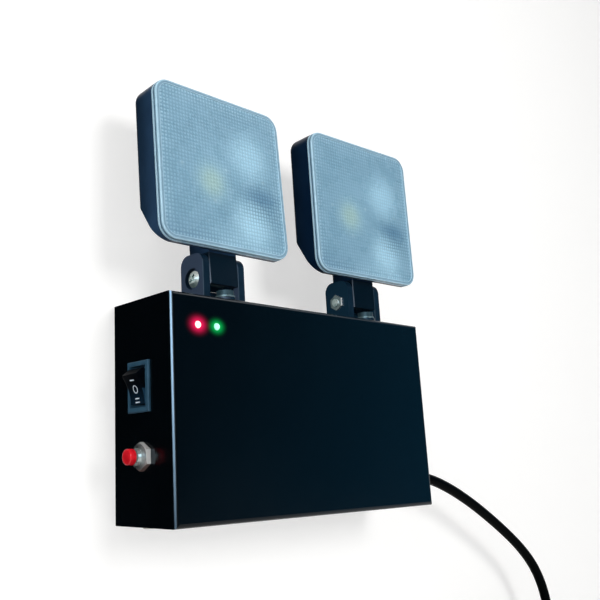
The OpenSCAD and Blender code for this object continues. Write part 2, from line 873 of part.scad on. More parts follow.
// An ear seen from the side, with its two upper corners round
module ear_2d() {
    up = ear_h - pivot_up;
    down = pivot_up - run;
    translate([-ear_d / 2, -down]) square([ear_d, down + up - ear_corner_r]);
    translate([ear_corner_r - ear_d / 2, -down]) square([ear_d - 2 * ear_corner_r, down + up]);
    for (y = [-1, 1]) translate([y * (ear_d / 2 - ear_corner_r), up - ear_corner_r])
        circle(ear_corner_r);
}

// A yoke round its pivot: two ears on a thin foot, which reaches forward under its screw,
// and a low web behind that joins the ears.
// The bolt's head sits in the ear on the -X side and its nut in the other one.
module yoke() {
    foot_z = run - pivot_up;
    color(black) difference() {
        union() {
            slab_x(-ear_out, -ear_in) ear_2d();
            slab_x(ear_in, ear_out) ear_2d();
            slab_z(foot_z, foot_z + foot_t) {
                translate([-ear_out, -ear_d / 2]) square([2 * ear_out, ear_d]);
                translate([0, -pivot_back]) circle(foot_r);
                translate([-foot_r, -pivot_back]) square([2 * foot_r, pivot_back]);
            }
            slab_z(foot_z, foot_z + web_h) translate([-ear_out, ear_d / 2 - web_t])
                square([2 * ear_out, web_t]);
        }
        rod_x(-ear_out - cut, ear_out + cut, bolt_d / 2 + slip);
        rod_x(-ear_out - cut, head_recess_deep - ear_out, head_recess_r);
        translate([ear_out - nut_recess_deep, 0, 0]) rotate([0, 90, 0])
            cylinder(h = nut_recess_deep + cut, r = nut_flats / sqrt(3) + slip, $fn = 6);
        translate([0, -pivot_back, 0]) rod_z(foot_z - cut, foot_z + foot_t + cut, bolt_d / 2 + slip);
    }
}

module pivot_bolt() {
    seat = head_recess_deep - ear_out;
    tip = ear_out - nut_recess_deep + nut_h + slip;
    color(steel) difference() {
        union() {
            rod_x(seat - cut, tip + bolt_proud, bolt_d / 2);
            translate([seat - pivot_head_h, 0, 0]) rotate([0, 90, 0]) rotate_extrude()
                polygon([[0, 0], [pan_r / 2, 0], [pan_r - slip, pivot_head_h / 2],
                    [pan_r, pivot_head_h], [0, pivot_head_h]]);
        }
        for (a = [0, 90]) rotate([a + 45, 0, 0])
            translate([seat - pivot_head_h - cut, -cross_w / 2, -cross_l / 2])
                cube([cross_deep + cut, cross_w, cross_l]);
    }
}

module pivot_nut() {
    seat = ear_out - nut_recess_deep;
    color(steel) difference() {
        translate([seat, 0, 0]) rotate([0, 90, 0])
            cylinder(h = nut_h, r = nut_flats / sqrt(3), $fn = 6);
        rod_x(seat - cut, seat + nut_h + cut, bolt_d / 2);
    }
}

// Outline of a head from the front, its lower edge at z = 0, drawn in from the edge by inset
module head_2d(inset) {
    translate([0, head_side / 2])
        round_rect(head_side - 2 * inset, head_side - 2 * inset, head_corner_r - inset);
}

// Height of the slanting heel above the lens's lower edge, at a depth y behind the pivot
function heel_at(y) = lip_h + chamfer_slope * (y - housing_y - lip_d);

// Side profile above the slanting heel, from y0 to y1, drawn in by t from the outside
module heel_2d(y0, y1, t) {
    rise = t * sqrt(1 + chamfer_slope * chamfer_slope);
    turn = housing_y + lip_d + (t - rise - lip_h) / chamfer_slope;
    polygon(concat(y0 < turn ? [[y0, t], [turn, t]] : [[y0, heel_at(y0) + rise]],
        [[y1, heel_at(y1) + rise], [y1, head_side], [y0, head_side]]));
}

// A plate on y = 0 that reaches forward by d, its four front edges rounded by e
module soft_plate(inset, d, e) {
    w = head_side - 2 * inset;
    r = head_corner_r - inset;
    translate([0, 0, head_side / 2]) {
        slab_z(r - w / 2, w / 2 - r) fold_2d(w, d, e, 0);
        slab_x(r - w / 2, w / 2 - r) rotate(-90) fold_2d(w, d, e, 0);
        for (x = [-1, 1], z = [-1, 1]) translate([x * (w / 2 - r), 0, z * (w / 2 - r)])
            rotate([90, 0, 0]) rotate_extrude() {
                square([r, d - e]);
                square([r - e, d]);
                translate([r - e, d - e]) circle(e);
            }
    }
}

// The housing's outside, and the hollow in it
module head_shell() {
    intersection() {
        translate([0, housing_y, 0]) mirror([0, 1, 0]) soft_plate(0, housing_d, heel_round);
        slab_x(-head_side, head_side) heel_2d(housing_y, housing_back, 0);
    }
}

module head_hollow() {
    intersection() {
        slab_y(housing_y - cut, housing_back - housing_t) head_2d(housing_t);
        slab_x(-head_side, head_side) heel_2d(housing_y - cut, housing_back - housing_t, housing_t);
    }
}

// A housing with its neck, round its pivot
module head_housing() {
    inner = neck_w / 2 - neck_t;
    color(black) difference() {
        union() {
            difference() {
                union() {
                    translate([0, 0, head_rise]) head_shell();
                    slab_x(-neck_w / 2, neck_w / 2) {
                        circle(cheek_r);
                        polygon([[-neck_front, -neck_drop], [0, -neck_drop], [neck_back, 0],
                            [neck_back, neck_top], [housing_back, neck_top + neck_blend],
                            [housing_back - housing_t / 2, neck_top + neck_blend],
                            [-neck_front, head_rise + housing_t]]);
                    }
                }
                translate([0, 0, head_rise]) head_hollow();
            }
            for (x = [-1, 1]) translate([x * pcb_screw_x, 0, head_rise + head_side / 2])
                rod_y(housing_back - housing_t - pcb_boss_h, housing_back - housing_t / 2, pcb_boss_r);
        }
        slab_x(-inner, inner) {
            polygon([[neck_t - neck_front, -2 * cheek_r], [neck_back - neck_t, -2 * cheek_r],
                [neck_back - neck_t, neck_top], [housing_back - housing_t, neck_top + neck_blend],
                [neck_t - neck_front, neck_top + neck_blend]]);
            translate([-2 * neck_front, -2 * cheek_r])
                square([4 * neck_front, 2 * cheek_r - neck_drop]);
        }
        rod_x(-neck_w, neck_w, bolt_d / 2 + slip);
        for (x = [-1, 1]) translate([x * pcb_screw_x, 0, head_rise + head_side / 2])
            rod_y(housing_back - housing_t - pcb_boss_h - cut, housing_back - housing_t, pcb_screw_r);
    }
}

// Lens: flange, groove and raised rim round a flat field, with a skirt that plugs the housing
lens_y = -lens_ahead;
groove_y = lens_y - groove_t;
rim_y = groove_y - rim_t;
skirt_y = housing_y + skirt_l;
module head_lens() {
    color("#9fc4dc", 0.6) translate([0, 0, head_rise]) difference() {
        union() {
            slab_y(lens_y, housing_y) head_2d(0);
            slab_y(groove_y, lens_y) head_2d(groove_in);
            translate([0, groove_y, 0]) soft_plate(rim_in, rim_t, rim_round);
            intersection() {
                slab_y(lens_y, skirt_y) head_2d(skirt_in);
                slab_x(-head_side, head_side) heel_2d(lens_y - cut, skirt_y, housing_t + slip);
            }
        }
        slab_y(rim_y - cut, rim_y + rim_lip) head_2d(rim_band + rim_in);
        slab_y(rim_y + rim_lip + lens_t, skirt_y + cut) head_2d(skirt_in + skirt_t);
    }
}

// Gasket: a flat ring round the root of the lens's skirt
module lens_gasket() {
    color("#15181a") translate([0, 0, head_rise]) slab_y(housing_y, housing_y + gasket_t)
        difference() {
            head_2d(housing_t + slip);
            head_2d(skirt_in);
        }
}

// Reflector: a shallow square dish with a flat rim, open in the middle for the chip
pcb_y = housing_back - housing_t - pcb_boss_h - pcb_t;
module dish_form() {
    hull() {
        slab_y(skirt_y, skirt_y + dish_t / 2) square(dish_side, center = true);
        slab_y(pcb_y - dish_t / 4, pcb_y) square(dish_open + 2 * dish_t, center = true);
    }
}

module reflector() {
    color("#c8d4dc") translate([0, 0, head_rise]) difference() {
        union() {
            translate([0, 0, head_side / 2]) dish_form();
            intersection() {
                slab_y(skirt_y, skirt_y + dish_t) head_2d(skirt_in);
                slab_x(-head_side, head_side) heel_2d(skirt_y, skirt_y + dish_t, housing_t + slip);
            }
        }
        translate([0, -dish_t, head_side / 2]) dish_form();
        translate([0, 0, head_side / 2]) {
            rod_y(pcb_y - 2 * dish_t, pcb_y + cut, chip_r + run);
            for (x = [-1, 1]) translate([x * pcb_screw_x, 0, 0])
                rod_y(pcb_y - 2 * dish_t, pcb_y + cut, pcb_screw_head_r + slip);
        }
    }
}

module led_board() {
    color("#e8ece8") translate([0, 0, head_rise + head_side / 2]) difference() {
        slab_y(pcb_y, pcb_y + pcb_t) square(pcb_side, center = true);
        for (x = [-1, 1]) translate([x * pcb_screw_x, 0, 0])
            rod_y(pcb_y - cut, pcb_y + pcb_t + cut, pcb_screw_r + slip);
    }
}

module led_chip() {
    color("#d9e08a") translate([0, 0, head_rise + head_side / 2]) rod_y(pcb_y - chip_t, pcb_y, chip_r);
}

module led_screws() {
    color(steel) for (x = [-1, 1]) translate([x * pcb_screw_x, pcb_y, head_rise + head_side / 2]) {
        rod_y(-pcb_screw_head_h, 0, pcb_screw_head_r);
        rod_y(-pcb_screw_head_h / 2, pcb_t + pcb_boss_h, pcb_screw_r);
    }
}

// The left yoke has its bolt head on the left, and the right yoke on the right
module left_yoke() { at_yoke(-1, 0) children(); }
module right_yoke() { at_yoke(1, -turn_right) mirror([1, 0, 0]) children(); }
module left_head() { at_yoke(-1, 0) rotate([-lean_left, 0, 0]) children(); }
module right_head() { at_yoke(1, -turn_right) rotate([-lean_right, 0, 0]) children(); }

front_cover();
back_plate();
case_screws();
battery_pack();
battery_strap();
strap_screws();
circuit_board();
board_standoffs();
board_screws();
transformer();
capacitors();
terminal_block();
indicator_board();
red_light();
green_light();
switch_body();
switch_terminals();
rocker();
button_bushing();
button_nut();
button_spring();
button_terminals();
test_button();
button_plunger();
strain_relief();
power_cord();
cord_coil();
cord_tie();
plug_body();
plug_pins();
swivel_screws();
swivel_washers();
swivel_nuts();
left_yoke() yoke();  // yoke_left
right_yoke() yoke();  // yoke_right
left_yoke() pivot_bolt();  // pivot_bolt_left
right_yoke() pivot_bolt();  // pivot_bolt_right
left_yoke() pivot_nut();  // pivot_nut_left
right_yoke() pivot_nut();  // pivot_nut_right
left_head() head_housing();  // head_housing_left
right_head() head_housing();  // head_housing_right
left_head() head_lens();  // head_lens_left
right_head() head_lens();  // head_lens_right
left_head() lens_gasket();  // lens_gasket_left
right_head() lens_gasket();  // lens_gasket_right
left_head() reflector();  // reflector_left
right_head() reflector();  // reflector_right
left_head() led_board();  // led_board_left
right_head() led_board();  // led_board_right
left_head() led_chip();  // led_chip_left
right_head() led_chip();  // led_chip_right
left_head() led_screws();  // led_screws_left
right_head() led_screws();  // led_screws_right
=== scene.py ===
import json
import math
import bpy
import bmesh
import numpy as np
from mathutils import Vector, Matrix


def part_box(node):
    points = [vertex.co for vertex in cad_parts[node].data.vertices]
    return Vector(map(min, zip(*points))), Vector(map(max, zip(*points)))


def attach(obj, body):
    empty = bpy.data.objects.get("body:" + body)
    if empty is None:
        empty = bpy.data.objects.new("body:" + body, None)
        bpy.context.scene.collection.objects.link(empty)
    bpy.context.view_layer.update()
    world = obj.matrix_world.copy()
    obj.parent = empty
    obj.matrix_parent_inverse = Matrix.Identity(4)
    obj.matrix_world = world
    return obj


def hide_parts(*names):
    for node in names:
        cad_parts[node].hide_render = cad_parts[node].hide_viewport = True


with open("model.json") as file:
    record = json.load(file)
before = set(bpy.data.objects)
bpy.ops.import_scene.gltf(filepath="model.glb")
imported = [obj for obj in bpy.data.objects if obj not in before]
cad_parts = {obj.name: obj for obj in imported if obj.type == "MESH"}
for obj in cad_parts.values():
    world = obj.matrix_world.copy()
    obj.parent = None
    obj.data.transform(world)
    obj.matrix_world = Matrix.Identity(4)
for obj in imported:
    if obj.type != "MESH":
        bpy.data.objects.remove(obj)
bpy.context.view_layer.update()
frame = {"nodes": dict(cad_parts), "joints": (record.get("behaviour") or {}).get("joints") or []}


# Viewpoint: a camera a little below the middle of the case and to its left, turned 40 degrees
# to the right and looking up 13 degrees, with the small roll of a hand-held picture.
turn, rise, roll = math.radians(40.4186), math.radians(12.7943), math.radians(-1.8905)
camera_at = (-0.26560, -0.27939, -0.05305)
film_width, lens_length, nearest_seen = 36, 46.425, 0.01
shift_right, shift_up = 0.1519, -0.0167

ahead = Vector((math.sin(turn) * math.cos(rise), math.cos(turn) * math.cos(rise), math.sin(rise)))
level_right = ahead.cross(Vector((0, 0, 1))).normalized()
level_up = level_right.cross(ahead)
right_way = math.cos(roll) * level_right + math.sin(roll) * level_up
up_way = math.cos(roll) * level_up - math.sin(roll) * level_right
camera = bpy.data.objects.new("viewpoint", bpy.data.cameras.new("viewpoint"))
camera.data.sensor_width = film_width
camera.data.lens = lens_length
camera.data.shift_x, camera.data.shift_y = shift_right, shift_up
camera.data.clip_start = nearest_seen
turned = Matrix((right_way, up_way, -ahead)).transposed().to_4x4()
turned.translation = camera_at
camera.matrix_world = turned
bpy.context.scene.collection.objects.link(camera)
bpy.context.scene.camera = camera


# Back plate: 1 mm steel sheet with a folded flange at its top and bottom, zinc plated and then
# lacquered dark grey, screwed flat to the wall through two holes.
noise_thin, noise_full = 0.3, 0.7


def link(tree, *pairs):
    """Joins each output socket to the input socket beside it."""
    for out, into in pairs:
        tree.links.new(out, into)


def value_of(tree, what, a, b=None, c=None):
    """One Math node: what is its operation, a, b and c are numbers or sockets."""
    n = tree.nodes.new("ShaderNodeMath")
    n.operation = what
    for slot, x in zip(n.inputs, (a, b, c)):
        if isinstance(x, (int, float)):
            slot.default_value = x
        elif x is not None:
            tree.links.new(x, slot)
    return n.outputs[0]


def ramp(tree, value, start, end, low=0, high=1, kind="LINEAR"):
    """Carries start..end of the value to low..high by a curve of that kind, held beyond them."""
    n = tree.nodes.new("ShaderNodeMapRange")
    n.interpolation_type = kind
    ends = {"From Min": start, "From Max": end, "To Min": low, "To Max": high}
    for socket, x in ends.items():
        n.inputs[socket].default_value = x
    link(tree, (value, n.inputs["Value"]))
    return n.outputs[0]


def tint(tree, colour, over, amount):
    """Lays a colour over another, which is a colour or a socket, by the socket amount: the other
    times (1 - amount), plus the colour times amount."""
    n = tree.nodes.new("ShaderNodeMix")
    n.data_type = "RGBA"
    n.inputs["B"].default_value = (*colour, 1)
    if isinstance(over, tuple):
        n.inputs["A"].default_value = (*over, 1)
    else:
        link(tree, (over, n.inputs["A"]))
    link(tree, (amount, n.inputs["Factor"]))
    return n.outputs["Result"]


def clouds(tree, size, stretch, detail, rough):
    """Noise in the piece's own coordinates whose blots are about size metres across; a stretch
    above 1 along an axis makes them that much shorter there."""
    at = tree.nodes.new("ShaderNodeTexCoord")
    drawn_out = tree.nodes.new("ShaderNodeMapping")
    drawn_out.inputs["Scale"].default_value = stretch
    n = tree.nodes.new("ShaderNodeTexNoise")
    n.inputs["Scale"].default_value = 1 / size
    n.inputs["Detail"].default_value = detail
    n.inputs["Roughness"].default_value = rough
    link(tree, (at.outputs["Object"], drawn_out.inputs["Vector"]),
         (drawn_out.outputs[0], n.inputs["Vector"]))
    return n.outputs["Fac"]


def finish(name, low, high, rough, blots=0.012, grain=0.0006, relief=0.05, depth=0.0001,
           metal=0.0, gloss=0.5, stretch=(1, 1, 1)):
    """A finish whose colour wanders from low to high over the blots and its roughness over the
    pair rough; a finer noise of the size grain lifts the surface by depth metres, as strongly
    as relief says."""
    m = bpy.data.materials.new(name)
    m.use_nodes = True
    t = m.node_tree
    s = t.nodes["Principled BSDF"]
    s.inputs["Metallic"].default_value = metal
    s.inputs["Specular IOR Level"].default_value = gloss
    blot = clouds(t, blots, stretch, detail=3.0, rough=0.55)
    fine = clouds(t, grain, stretch, detail=1.0, rough=0.5)
    bump = t.nodes.new("ShaderNodeBump")
    bump.inputs["Strength"].default_value = relief
    bump.inputs["Distance"].default_value = depth
    colour = tint(t, high, low, ramp(t, blot, noise_thin, noise_full))
    link(t, (colour, s.inputs["Base Color"]),
         (ramp(t, blot, noise_thin, noise_full, *rough), s.inputs["Roughness"]),
         (fine, bump.inputs["Height"]), (bump.outputs[0], s.inputs["Normal"]))
    return m


def dress(material, *nodes):
    """Gives CAD nodes their finish."""
    for n in nodes:
        for slot in frame["nodes"][n].material_slots:
            slot.material = material


dress(finish("lacquered_plate", (0.020, 0.022, 0.024), (0.034, 0.037, 0.040), (0.35, 0.5),
             blots=0.018, grain=0.0008, relief=0.12), "back_plate")


# Battery: two cells one above the other in a shrunk blue sleeve, held on the plate by a
# zinc-plated band and two screws.
sleeve = finish("shrink_sleeve", (0.020, 0.10, 0.33), (0.035, 0.15, 0.42), (0.18, 0.3),
                blots=0.02, grain=0.004, relief=0.2, depth=0.0003)
zinc = finish("zinc_plating", (0.50, 0.50, 0.47), (0.66, 0.66, 0.62), (0.22, 0.42),
              blots=0.004, grain=0.0005, relief=0.08, metal=1.0)
dress(sleeve, "battery_pack")
dress(zinc, "battery_strap", "strap_screws")


# Charger: a glass-fibre board with green mask on four brass standoffs, with a mains
# transformer, two capacitors and a three-way terminal block, all pushed in and soldered.
mask = finish("solder_mask", (0.008, 0.11, 0.035), (0.014, 0.17, 0.055), (0.2, 0.34),
              blots=0.006, grain=0.0011, relief=0.15)
brass = finish("turned_brass", (0.62, 0.42, 0.16), (0.76, 0.55, 0.25), (0.2, 0.34),
               blots=0.005, grain=0.0004, relief=0.1, metal=1.0)
iron = finish("laminated_core", (0.10, 0.085, 0.07), (0.24, 0.15, 0.075), (0.35, 0.6),
              blots=0.009, grain=0.0007, relief=0.4, depth=0.0002, metal=0.4, stretch=(1, 3, 1))
can = finish("capacitor_sleeve", (0.012, 0.014, 0.03), (0.02, 0.024, 0.045), (0.2, 0.32),
             blots=0.008)
nylon = finish("terminal_nylon", (0.52, 0.52, 0.47), (0.64, 0.64, 0.58), (0.35, 0.5), blots=0.006)
dress(mask, "circuit_board", "indicator_board")
dress(brass, "board_standoffs", "switch_terminals", "button_terminals")
dress(zinc, "board_screws", "swivel_nuts", "case_screws")
dress(iron, "transformer")
dress(can, "capacitors")
dress(nylon, "terminal_block")


# Cover: 1 mm steel folded into a pan, sprayed gloss black. The sharp fold carries a painted
# highlight line, the front a painted teal reflection, and round the two lights the paint has their
# painted glow.
case_left, case_front = (round(c, 5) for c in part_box("front_cover")[0][:2])
# The fold's radius, and how far behind its outer face the sheet still counts as the front.
fold_r, front_skin = 0.0018, 0.0009
# The front's painted teal reflection grows along x - 0.6 z, which runs towards its right and its
# foot.
blue_lean, blue_from, blue_to = -0.6, -0.055, 0.13
# The fold's painted highlight line faces 34 degrees round from the left towards the front. It is
# full within 5 degrees of that and gone at 20, and fades from the height line_whole down to the
# case's foot.
line_facing, line_full, line_gone = math.radians(34), math.radians(5), math.radians(20)
line_foot, line_whole, line_least = -0.076, -0.01, 0.16
# A point is on the fold when it lies at least this far past the fold's centre both ways.
hair = 0.00002
# The painted glow of each light on the paint reaches this far sideways, and less far up and down by
# the glow's squeeze.
red_reach, red_steep, green_reach, green_steep, glow_squeeze = 0.0102, 3.4, 0.0086, 3.2, 1.28


def light_at(node):
    """The middle of a light on the front's surface, to a hundredth of a millimetre."""
    low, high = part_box(node)
    return round((low[0] + high[0]) / 2, 5), case_front, round((low[2] + high[2]) / 2, 5)


def split(tree, vector):
    """The x, y and z sockets of a vector socket."""
    n = tree.nodes.new("ShaderNodeSeparateXYZ")
    link(tree, (vector, n.inputs[0]))
    return n.outputs[0], n.outputs[1], n.outputs[2]


def place_of(tree):
    """The x, y and z sockets of the place on the piece, in the row frame."""
    return split(tree, tree.nodes.new("ShaderNodeTexCoord").outputs["Object"])


def coat_of(material):
    """A finish's node tree, its shader and the socket that its colour comes from."""
    shader = material.node_tree.nodes["Principled BSDF"]
    return material.node_tree, shader, shader.inputs["Base Color"].links[0].from_socket


def nearness(tree, centre, radius, scale=(1, 1, 1), inner=0, kind="SMOOTHERSTEP", where=None):
    """1 at the centre and within inner of it, falling smoothly to 0 at radius from it. Lengths
    along each axis grow by its scale first, so an axis whose scale is 0 isn't counted."""
    if where is None:
        where = tree.nodes.new("ShaderNodeTexCoord").outputs["Object"]
    grown = tree.nodes.new("ShaderNodeVectorMath")
    grown.operation = "MULTIPLY"
    grown.inputs[1].default_value = scale
    gap = tree.nodes.new("ShaderNodeVectorMath")
    gap.operation = "DISTANCE"
    gap.inputs[1].default_value = [c * k for c, k in zip(centre, scale)]
    link(tree, (where, grown.inputs[0]), (grown.outputs[0], gap.inputs[0]))
    return ramp(tree, gap.outputs["Value"], inner, radius, 1, 0, kind)


def cover_paint():
    """Gloss black with the front's painted teal reflection, the fold's painted highlight line and
    the lights' painted glow.
    """
    m = finish("gloss_black_paint", (0.0004, 0.0010, 0.0016), (0.0007, 0.0020, 0.0032),
               (0.16, 0.24), blots=0.05, grain=0.0022, relief=0.03, depth=0.0002, gloss=0.2)
    t, s, coat = coat_of(m)
    x, y, z = place_of(t)
    # Painted teal reflection on the front, laid into its base colour.
    teal_reflection = ramp(t, value_of(t, "MULTIPLY_ADD", z, blue_lean, x), blue_from, blue_to)
    on_front = value_of(t, "LESS_THAN", y, case_front + front_skin)
    coat = tint(t, (0.0008, 0.0075, 0.0150), coat, value_of(t, "MULTIPLY", teal_reflection, on_front))
    # How far a point lies past the fold's centre, to the left and to the front.
    past_x = value_of(t, "SUBTRACT", case_left + fold_r, x)
    past_y = value_of(t, "SUBTRACT", case_front + fold_r, y)
    facing = value_of(t, "ARCTAN2", past_y, past_x)
    off_line = value_of(t, "ABSOLUTE", value_of(t, "SUBTRACT", facing, line_facing))
    line = ramp(t, off_line, line_full, line_gone, 1, 0, "SMOOTHSTEP")
    on_fold = value_of(t, "MINIMUM", value_of(t, "GREATER_THAN", past_x, hair),
                       value_of(t, "GREATER_THAN", past_y, hair))
    fade = ramp(t, z, line_foot, line_whole, line_least)
    # Painted highlight along the fold, lighter base colour where the fold faces line_facing.
    fold_highlight = value_of(t, "MULTIPLY", value_of(t, "MULTIPLY", on_fold, line), fade)
    coat = tint(t, (0.40, 0.64, 0.90), coat, fold_highlight)
    # Painted glow: the paint round the two lights gives off their colour as emission.
    glow = (0.0, 0.0, 0.0)
    for colour, centre, reach, steep in (((1.0, 0.012, 0.110), red_at, red_reach, red_steep),
                                         ((0.002, 0.50, 0.09), green_at, green_reach, green_steep)):
        near = nearness(t, centre, reach, scale=(1, 1, glow_squeeze))
        glow = tint(t, colour, glow, value_of(t, "POWER", near, steep))
    link(t, (coat, s.inputs["Base Color"]), (glow, s.inputs["Emission Color"]))
    s.inputs["Emission Strength"].default_value = 1
    return m


red_at, green_at = light_at("red_light"), light_at("green_light")
dress(cover_paint(), "front_cover")


# Lights: two 3 mm epoxy lights, soldered to their strip behind the cover. Both are lit; each
# has a pale hot core in a coloured dome.
light_tip = round(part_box("red_light")[0][1], 5)
core_reach, shell_swing = 0.0034, 1.3


def lamp_finish(name, shell, core, centre, strength):
    """A coloured dome that glows, paler towards its tip."""
    brighter = tuple(min(1, shell_swing * c) for c in shell)
    m = finish(name, shell, brighter, (0.1, 0.18), blots=0.002)
    t, s, base = coat_of(m)
    near = nearness(t, (centre[0], light_tip, centre[2]), core_reach)
    link(t, (tint(t, core, base, near), s.inputs["Emission Color"]))
    s.inputs["Emission Strength"].default_value = strength
    return m


dress(lamp_finish("red_epoxy", (0.85, 0.02, 0.05), (1.0, 0.86, 0.80), red_at, 2.4), "red_light")
dress(lamp_finish("green_epoxy", (0.03, 0.30, 0.12), (0.48, 0.80, 0.82), green_at, 1.5),
      "green_light")


# Rocker switch: a nylon body that snaps into the left side, and a rocker with sloping ends on
# a moulded pin. II is pressed in; the marks are printed white on the rocker's hollow face.
joints = {joint["name"]: joint for joint in frame["joints"]}
pin = np.array(joints["rocker_pivot"]["pos_m"])
rest_tilt = math.radians(-20)
rocker_w = 0.0104
# The hollow face, in mm: its lowest height over the pin, its depth and half its length.
face_low, face_dish, face_half = 2.8, 1.0, 6.2
# The rocker is lit near lit_face, and further across than lit_edge where it's below the pin.
lit_face, lit_reach, lit_edge, lit_below = (-0.0840, -0.0185, -0.0290), 0.0120, 0.0048, 0.001


def quads_of(ids):
    """The four-cornered faces between the rows and columns of a grid of point numbers."""
    corners = [ids[:-1, :-1], ids[:-1, 1:], ids[1:, 1:], ids[1:, :-1]]
    return np.stack(corners, axis=-1).reshape(-1, 4).tolist()


def build(name, sheets, body, material, smooth=35):
    """One mesh from grids of points (rows, columns, xyz). Each sheet is (grid, round, capped):
    round joins the last column to the first and capped closes the first and last row. Edges
    that turn by less than smooth degrees look round."""
    points, faces, start = [], [], 0
    for grid, closed, capped in sheets:
        rows, cols = grid.shape[:2]
        ids = start + np.arange(rows * cols).reshape(rows, cols)
        if closed:
            ids = np.concatenate([ids, ids[:, :1]], axis=1)
        faces += quads_of(ids)
        if capped:
            ring = ids[:, :cols]
            faces += [ring[0].tolist(), ring[-1][::-1].tolist()]
        points.append(grid.reshape(-1, 3))
        start += rows * cols
    mesh = bpy.data.meshes.new(name)
    mesh.from_pydata(np.concatenate(points).tolist(), [], faces)
    work = bmesh.new()
    work.from_mesh(mesh)
    bmesh.ops.remove_doubles(work, verts=work.verts, dist=1e-7)
    bmesh.ops.recalc_face_normals(work, faces=work.faces)
    work.to_mesh(mesh)
    work.free()
    mesh.materials.append(material)
    mesh.polygons.foreach_set("use_smooth", [True] * len(mesh.polygons))
    mesh.set_sharp_from_angle(angle=math.radians(smooth))
    piece = bpy.data.objects.new(name, mesh)
    bpy.context.scene.collection.objects.link(piece)
    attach(piece, body)
    return piece


def rocker_finish():
    """Black nylon with a painted highlight on its lower face and on the edges along it."""
    m = finish("rocker_nylon", (0.0004, 0.0010, 0.0018), (0.0010, 0.0022, 0.0040), (0.32, 0.45),
               blots=0.005, grain=0.0004, relief=0.12, gloss=0.02)
    t, s, base = coat_of(m)
    base = tint(t, (0.0035, 0.0140, 0.0290), base, nearness(t, lit_face, lit_reach))
    _, y, z = place_of(t)
    aside = value_of(t, "ABSOLUTE", value_of(t, "SUBTRACT", y, float(pin[1])))
    on_edge = value_of(t, "MULTIPLY", value_of(t, "GREATER_THAN", aside, lit_edge),
                       value_of(t, "LESS_THAN", z, float(pin[2]) - lit_below))
    link(t, (tint(t, (0.012, 0.040, 0.075), base, on_edge), s.inputs["Base Color"]))
    return m


def on_rocker(out, along, across):
    """Rocker coordinates to the row frame: out of the wall, along the rocker, across it; the
    rocker is turned about its pin by its tilt."""
    x, z = -out, along
    return np.stack([pin[0] + x * math.cos(rest_tilt) + z * math.sin(rest_tilt),
                     pin[1] + across + 0 * x,
                     pin[2] - x * math.sin(rest_tilt) + z * math.cos(rest_tilt)], axis=-1)


def face_at(along):
    """Height of the hollow face: its lowest, plus its dish times (along / half length)^2."""
    return face_low + face_dish * (along / face_half) ** 2


dress(finish("switch_nylon", (0.018, 0.056, 0.094), (0.034, 0.092, 0.148), (0.35, 0.5),
             blots=0.006, grain=0.0004, relief=0.15, gloss=0.14), "switch_body")

# The outline, (out, along) in mm, runs over the face, down its end, round the base and up again;
# a fillet draws it in towards the middle at both sides.
face_line = np.linspace(-face_half, face_half, 25)
outline = np.concatenate([
    np.stack([face_at(face_line), face_line], 1),
    [[3.6, 6.45], [1.7, 7.1], [0.0, 7.7], [-1.0, 7.6], [-3.4, 1.7], [-3.4, -1.7], [-1.0, -7.6],
     [0.0, -7.7], [1.7, -7.1], [3.6, -6.45]]]) / 1000
drawn_to = np.array([0.0008, 0.0])
drawn_shares = np.array([0.94, 0.975, 1.0, 1.0, 0.975, 0.94])
across_shares = np.array([-0.5, -0.487, -0.46, 0.46, 0.487, 0.5])
loops = drawn_to + (outline - drawn_to) * drawn_shares[:, None, None]
grid = on_rocker(loops[..., 0], loops[..., 1], (across_shares * rocker_w)[:, None])
rocker = build("rocker_key", [(grid, True, True)], "rocker", rocker_finish(), 30)
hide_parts("rocker")

# The marks, in mm: how proud of the face they stand and how deep they are sunk into it.
print_proud, print_sunk = 0.03, -0.05
bar_w, bar_h = 2.9, 0.5
ring_tall, ring_wide, ring_line = 3.1, 2.7, 0.38


def print_bar(along):
    """A printed bar on the hollow face: a thin slab that follows the face's curve."""
    tt = along + np.linspace(-0.5, 0.5, 5) * bar_h
    yy = np.linspace(-0.5, 0.5, 7) * bar_w
    top, bottom = (np.stack([on_rocker((face_at(tt) + lift) / 1000, tt / 1000, y / 1000 + 0 * tt)
                             for y in yy]) for lift in (print_proud, print_sunk))
    return np.concatenate([top, bottom[:, ::-1]], axis=1)


def print_ring(along):
    """A printed ring: an ellipse on the hollow face, its line a thin flat tube."""
    a = np.linspace(0, 2 * np.pi, 49)[:-1]
    loops = []
    for grow, lift in ((1, print_proud), (1, print_sunk), (-1, print_sunk), (-1, print_proud)):
        tt = along + (ring_tall / 2 + grow * ring_line / 2) * np.sin(a)
        yy = (ring_wide / 2 + grow * ring_line / 2) * np.cos(a)
        loops.append(on_rocker((face_at(tt) + lift) / 1000, tt / 1000, yy / 1000))
    return np.stack(loops + loops[:1], axis=0)


print_white = finish("printed_white", (0.58, 0.68, 0.80), (0.72, 0.82, 0.93), (0.4, 0.55),
                     blots=0.001)
marks = build("rocker_marks", [(print_bar(3.75), True, True), (print_ring(-0.2), True, False),
                               (print_bar(-4.0), True, True), (print_bar(-5.5), True, True)],
              "rocker", print_white)


# Test button: a chromed brass bushing through the left side with a hexagon nut, a steel spring
# behind, a steel plunger, and a short red cap pressed over its end.
# Facing up counts up_share as much as facing forward. The nut's face is painted brighter, as a
# highlight, ahead of the depth nut_lit_from, by nut_lit_most at nut_lit_run further.
up_share, under_gain, under_most = 0.4, -1.3, 0.9
nut_lit_from, nut_lit_run, nut_lit_most = -0.0185, 0.0052, 0.16


def held(tree, x, most=1.0):
    """The socket x, held between 0 and most."""
    return value_of(tree, "MINIMUM", value_of(tree, "MAXIMUM", x, 0.0), most)


def facing_of(tree):
    """The x, y and z sockets of the way that the surface faces."""
    return split(tree, tree.nodes.new("ShaderNodeNewGeometry").outputs["True Normal"])


